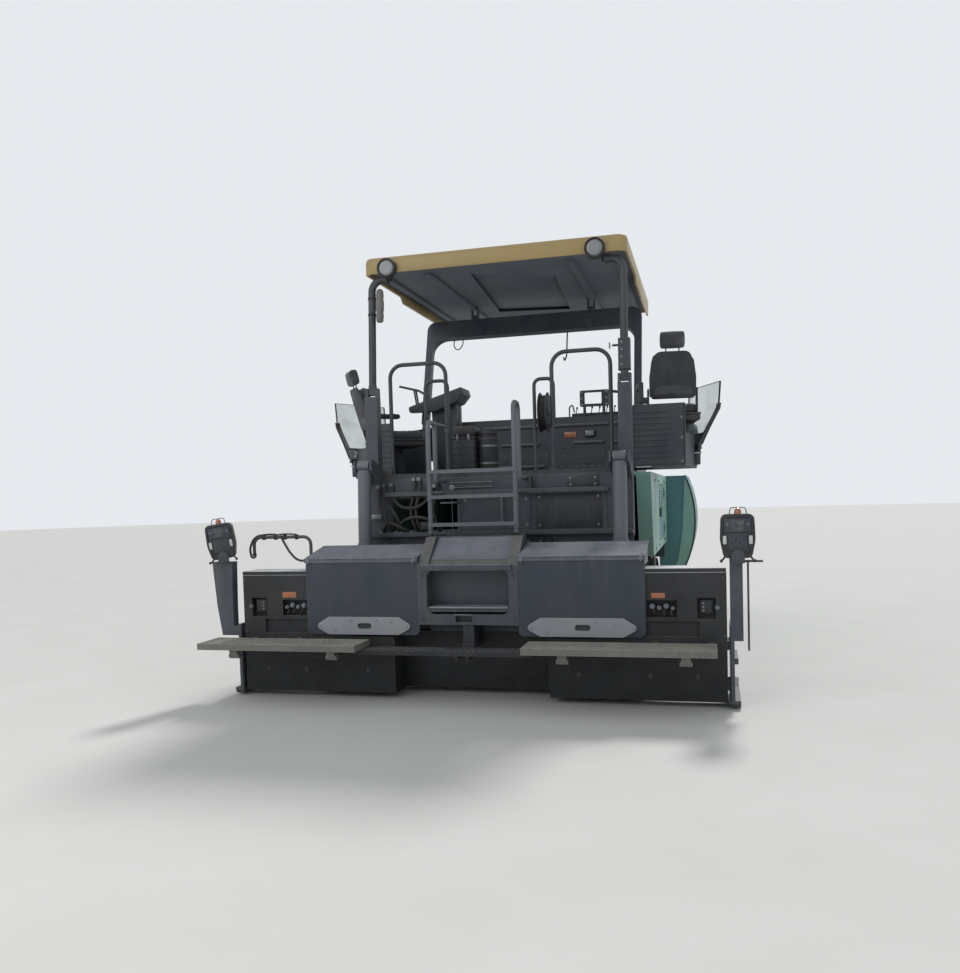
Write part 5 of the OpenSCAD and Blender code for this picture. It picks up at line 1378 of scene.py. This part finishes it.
def make_doors():
    """Pressed louvres, latch and hinge bolts of the service doors, the seams of the side panels, and a near
    white line painted as a highlight on their sloping edge.
    """
    for side in SIDES:
        left = side == "left"
        door = Piece("door_trim_" + side, "door_" + side, TEAL, flip=left)
        for y, i in product((-0.27, 0.10), range(8)):
            z = 1.300 + i * 0.028
            door.add(block((1.2495, y, z), (1.2575, y + 0.26, z + 0.014)))
        door.add(block((1.2635, -0.318, 1.250), (1.270, -0.272, 1.350)), PLASTIC)
        spots = [(1.258, y, z) for y, z in product((0.455, 0.480), (1.12, 1.48))]
        door.add(bolts(spots, OUTWARD, 0.006, 0.004), STEEL)
        door.done()
        panel = Piece("side_panel_trim_" + side, "tractor", PALE_TEAL, flip=left)
        for y in (-0.90, 0.62):
            panel.add(block((1.2492, y - 0.002, 0.955), (1.2512, y + 0.002, 1.645), 0.0005, 1), DARK)
        spots = [(1.250, y, z) for y, z in product((-0.95, -0.40, 0.56, 0.68, 1.06), (1.00, 1.60))]
        panel.add(bolts(spots, OUTWARD, 0.009, 0.005), STEEL)
        for i in range(10):
            z = 1.28 + i * 0.026
            panel.add(block((1.2495, 0.70, z), (1.2565, 0.98, z + 0.012), 0.0028))
        # Painted highlight: a near white line along the side panel's sloping edge
        seam = [(-1.497, 1.646), (-1.279, 0.954), (-1.268, 0.954), (-1.486, 1.646)]
        panel.add(side_plate(seam, 1.2495, 1.2525, 0.001), EDGE)
        panel.done()


# Radius of a wing's bulged side, the height of its middle and its widest x
BULGE, BULGE_MIDDLE, BULGE_OUT = 1.250, 1.18, 1.565


def wing_edge(z, thick=0.0):
    """Where the wing's bulged side lies at a height, or a surface so far inside it."""
    return BULGE_OUT - BULGE + math.sqrt((BULGE - thick) ** 2 - (z - BULGE_MIDDLE) ** 2)


def make_wings():
    """Pale teal crescent painted on the bulged rear edge as a highlight, a dark strip along its rim, and a
    near white rod painted as a highlight on the top edge of the hopper wings.
    """
    inner = [(1.449, 1.626), (1.437, 1.423), (1.426, 1.253), (1.418, 1.083), (1.395, 0.913), (1.358, 0.725),
             (1.330, 0.660)]
    heights = [0.660 + i * 0.0966 for i in range(11)]
    painted_lit_crescent = inner + [(wing_edge(z, 0.017), z) for z in heights]
    rim = [(wing_edge(z, 0.016), z) for z in heights] + [(wing_edge(z), z) for z in reversed(heights)]
    top = wing_edge(1.668, 0.007)
    for side in SIDES:
        wing = Piece("wing_trim_" + side, "wing_" + side, PALE_TEAL, flip=side == "left")
        # Painted highlight: the bulged rear edge wears a paler teal than the wing, standing for the sunlight
        # that it catches
        wing.add(cross_plate(painted_lit_crescent, 1.1585, 1.1655, 0.001, 1))
        wing.add(cross_plate(rim, 1.1565, 1.1650, 0.001, 1), TARRED)
        # Painted highlight: near white along the wing's top edge
        wing.add(rod((top, 1.17, 1.6685), (top, 2.76, 1.6685), 0.0085, sides=12), EDGE)
        wing.done()


# Middles of the drive wheel and the idler, the radius of the track's outside and that of its chain
TRACK_REAR, TRACK_FRONT, TRACK_R = -1.225, 1.165, 0.380
CHAIN_R = TRACK_R - 0.034 - 0.030
STRAIGHT_LINKS, ROUND_LINKS = 16, 8


def chain_spots():
    """Middle and turn of each link: along the ground, back along the top, and round both wheels."""
    pitch = (TRACK_FRONT - TRACK_REAR) / STRAIGHT_LINKS
    spots = [(TRACK_REAR + (i + 0.5) * pitch, TRACK_R + up * CHAIN_R, turn)
             for (up, turn), i in product(((-1, 0.0), (1, 180.0)), range(STRAIGHT_LINKS))]
    for (centre, start), i in product(((TRACK_REAR, 90.0), (TRACK_FRONT, -90.0)), range(ROUND_LINKS)):
        turn = start + (i + 0.5) * 180.0 / ROUND_LINKS
        a = math.radians(turn)
        spots.append((centre + CHAIN_R * math.cos(a), TRACK_R + CHAIN_R * math.sin(a), turn + 90.0))
    return spots


def make_chain(side):
    """Chain links with their pin heads."""
    chain = Piece("track_chain_" + side, "tractor", IRON, flip=side == "left")
    link = [(-0.074, -0.020), (0.074, -0.020), (0.080, 0.0), (0.074, 0.020), (-0.074, 0.020), (-0.080, 0.0)]
    for (y, z, turn), away in product(chain_spots(), (1, -1)):
        spin = Matrix.Rotation(math.radians(turn), 4, "X")
        place = Matrix.Translation((0.985 + away * 0.0805, y, z)) @ spin
        chain.add(side_plate(link, -0.006, 0.006, 0.0015), IRON, place)
        for end in (-0.05, 0.05):
            chain.add(rod((0.0, end, 0.0), (away * 0.0112, end, 0.0), 0.012, sides=8), STEEL, place)
    chain.done()


def make_track_wheels(side):
    """Hub caps with their bolts, drive wheel teeth, roller caps and guard plates of a crawler track."""
    hubs = Piece("track_wheels_" + side, "tractor", IRON, flip=side == "left")
    cap = [(0.0, 0.0), (0.0, 0.235), (0.010, 0.240), (0.016, 0.200), (0.016, 0.130), (0.050, 0.118),
           (0.056, 0.085), (0.060, 0.0)]
    tooth = [(-0.022, 0.245), (0.022, 0.245), (0.010, 0.292), (-0.010, 0.292)]
    for centre, count in ((TRACK_REAR, 15), (TRACK_FRONT, 0)):
        hubs.add(turned((1.0295, centre, TRACK_R), (1.12, centre, TRACK_R), cap, 40))
        turns = [math.radians(36 * i) for i in range(10)]
        spots = [(1.045, centre + 0.165 * math.cos(a), TRACK_R + 0.165 * math.sin(a)) for a in turns]
        hubs.add(bolts(spots, OUTWARD, 0.012, 0.010), STEEL)
        for i in range(count):
            turn = Matrix.Rotation(2 * math.pi * i / count, 4, "X")
            place = Matrix.Translation((1.045, centre, TRACK_R)) @ turn
            hubs.add(side_plate(tooth, -0.018, 0.018, 0.003), STEEL, place)
    roller = [(0.0, 0.0), (0.0, 0.070), (0.006, 0.074), (0.010, 0.045), (0.022, 0.040), (0.026, 0.0)]
    for i in range(7):
        y = TRACK_REAR + 0.320 + i * 0.290
        hubs.add(turned((1.0555, y, 0.168), (1.09, y, 0.168), roller, 24), STEEL)
    for y in (-0.9, -0.3, 0.3, 0.85):
        hubs.add(block((1.0465, y - 0.16, 0.325), (1.0495, y + 0.16, 0.445), 0.006))
        spots = [(1.0495, y + ahead, z) for z, ahead in product((0.345, 0.425), (-0.13, 0.13))]
        hubs.add(bolts(spots, OUTWARD, 0.010), STEEL)
    hubs.done()


def make_tracks():
    for side in SIDES:
        make_chain(side)
        make_track_wheels(side)


def make_grating():
    """Slanting flat bars of the walkway grating, with cross wires between them."""
    low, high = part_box("grating")
    wires = Piece("grating_wires", "screed", STEEL)
    y0, y1 = low.y + 0.014, high.y - 0.014
    depth = y1 - y0
    for i in range(int((high.x - low.x) / 0.045) + 4):
        x = low.x - 0.10 + i * 0.045
        a, b = max(x, low.x + 0.008), min(x + depth, high.x - 0.008)
        if b - a >= 0.02:
            wires.add(rod((a, y0 + a - x, 0.4010), (b, y0 + b - x, 0.4010), 0.0035, sides=6))
    for j in range(1, 4):
        y = y0 + depth * j / 4
        wires.add(rod((low.x + 0.006, y, 0.3985), (high.x - 0.006, y, 0.3985), 0.0030, sides=6))
    wires.done()


BEAM_LEAN = math.radians(17.24)


def off_beam(*spots):
    """Points from their x, z and distance off the portal beam's leaning rear face."""
    return [(x, -0.315 + (z - 2.2) * math.tan(BEAM_LEAN) - proud, z) for x, z, proud in spots]


def make_portal_fittings():
    """Wire loop under the portal's beam, small plate on it and the hook that hangs beside it."""
    fit = Piece("portal_fittings", "front_portal", RUBBER)
    fit.add(hose(off_beam((-0.80, 3.125, 0.03), (-0.795, 3.045, 0.045), (-0.755, 3.010, 0.045),
                          (-0.715, 3.045, 0.045), (-0.710, 3.125, 0.03)), 0.0055))
    foot = off_beam((0.547, 3.124, 0.0395))[0]
    fit.add(block((0.0, -0.004, 0.0), (0.068, 0.0, 0.120), 0.002, 1), STEEL,
            Matrix.Translation(foot) @ Matrix.Rotation(-BEAM_LEAN, 4, "X"))
    hook = off_beam((0.372, 3.13, 0.045), (0.372, 2.86, 0.060), (0.352, 2.80, 0.060), (0.345, 2.85, 0.060))
    fit.add(bent_tube(hook, 0.007, 0.03, 10), DARK)
    fit.done()


def make_wall_clutter():
    """Hoses, a round fixture, a lift arm, conduit and boxes about the ladder on the rear wall."""
    wall = Piece("rear_wall_hoses", "tractor", RUBBER)
    # radius, then x and z of each point
    runs = [(0.016, [(-1.02, 1.60), (-0.99, 1.42), (-0.93, 1.30), (-0.90, 1.21)]),
            (0.014, [(-0.97, 1.62), (-0.93, 1.46), (-0.84, 1.34), (-0.82, 1.21)]),
            (0.013, [(-0.90, 1.62), (-0.87, 1.50), (-0.76, 1.42), (-0.60, 1.46), (-0.52, 1.60)]),
            (0.013, [(-0.86, 1.215), (-0.80, 1.30), (-0.66, 1.34), (-0.50, 1.28), (-0.45, 1.21)]),
            (0.015, [(-1.00, 1.22), (-0.92, 1.29), (-0.80, 1.25), (-0.74, 1.21)])]
    for r, line in runs:
        last, middle = len(line) - 1, len(line) // 2
        away = [0.018 if i in (0, last) else 0.072 if i == middle else 0.060 for i in range(len(line))]
        wall.add(hose(off_wall(*[(x, out, z) for (x, z), out in zip(line, away)]), r))
        for x, z in (line[0], line[-1]):
            wall.add(rod(*off_wall((x, 0.001, z), (x, 0.034, z)), r * 1.35, sides=6), STEEL)
    lamp = [(0.0, 0.0), (0.0, 0.028), (0.016, 0.028), (0.020, 0.022), (0.021, 0.0)]
    wall.add(turned(*off_wall((-0.368, -0.001, 1.577), (-0.368, 0.05, 1.577)), lamp, 24), LAMP)
    wall.add(raised(REAR_WALL, 0.30, 0.315, 1.555, 1.655, 0.070, 0.003, 1), DARK)
    for x0, x1, z0, z1 in [(0.34, 0.88, 1.225, 1.505), (0.60, 0.86, 1.55, 1.655)]:
        wall.add(raised(REAR_WALL, x0, x1, z0, z1, 0.010, 0.006), DARK)
        spots = corner_spots(x0 + 0.03, x1 - 0.03, REAR_WALL - 0.010, z0 + 0.025, z1 - 0.025)
        wall.add(bolts(spots, REARWARD, 0.007, 0.005), STEEL)
    conduit = [(0.002, 1.500), (0.045, 1.500), (0.045, 1.260), (0.002, 1.260)]
    wall.add(bent_tube(off_wall(*[(0.062, away, z) for away, z in conduit]), 0.008, 0.02, 10), TUBE)
    wall.add(block((-1.095, REAR_WALL - 0.062, 1.330), (-0.985, REAR_WALL - 0.030, 1.372), 0.006), LAMP)
    arm = [(-0.440, -2.185, 2.100), (-0.440, -1.735, 2.098), (-0.426, -1.718, 2.060)]
    wall.add(bent_tube(arm, 0.017, 0.03), TUBE)
    wall.add(block((-0.66, REAR_WALL - 0.050, 1.232), (-0.56, REAR_WALL - 0.005, 1.30), 0.008), PLASTIC)
    wall.done()


def make_hopper_trim():
    """Weld beads and wear plates in the hopper, chain edges on the slat conveyor and the apron's rubber."""
    steel = Piece("hopper_wear", "tractor", HOPPER)
    for x, i in product((-0.29, 0.29), range(60)):
        y = -1.72 + i * 0.075
        steel.add(block((x - 0.045, y, 0.4405), (x + 0.045, y + 0.038, 0.449), 0.0), TARRED)
    for x, i in product((-0.52, -0.09, 0.09, 0.52), range(44)):
        y = -1.70 + i * 0.100
        steel.add(block((x - 0.011, y, 0.4415), (x + 0.011, y + 0.072, 0.460), 0.0), STEEL)
    for x in (-1.0, -0.62, 0.62, 1.0):
        steel.add(block((x - 0.006, 1.128, 0.90), (x + 0.006, 1.134, 1.64), 0.002, 1))
    steel.done()
    flap = Piece("apron_flap", "apron", RUBBER)
    flap.add(side_plate([(2.97, 0.597), (3.006, 0.600), (3.008, 0.606), (2.97, 0.6055)], -0.62, 0.62))
    flap.done()


for make in (make_canopy, make_seats, make_covers, make_lids, make_steps, make_boards, make_rear_wall,
             make_filter, make_handrails, make_ladder_treads, make_console, make_posts, make_hood_trim,
             make_display_frame, make_pods, make_doors, make_wings, make_tracks, make_grating,
             make_portal_fittings, make_wall_clutter, make_hopper_trim):
    make()
for side in SIDES:
    make_control_box(side)
    make_extension_fittings(side)

aim_camera()
lay_floor()
set_light()
dress_nodes()
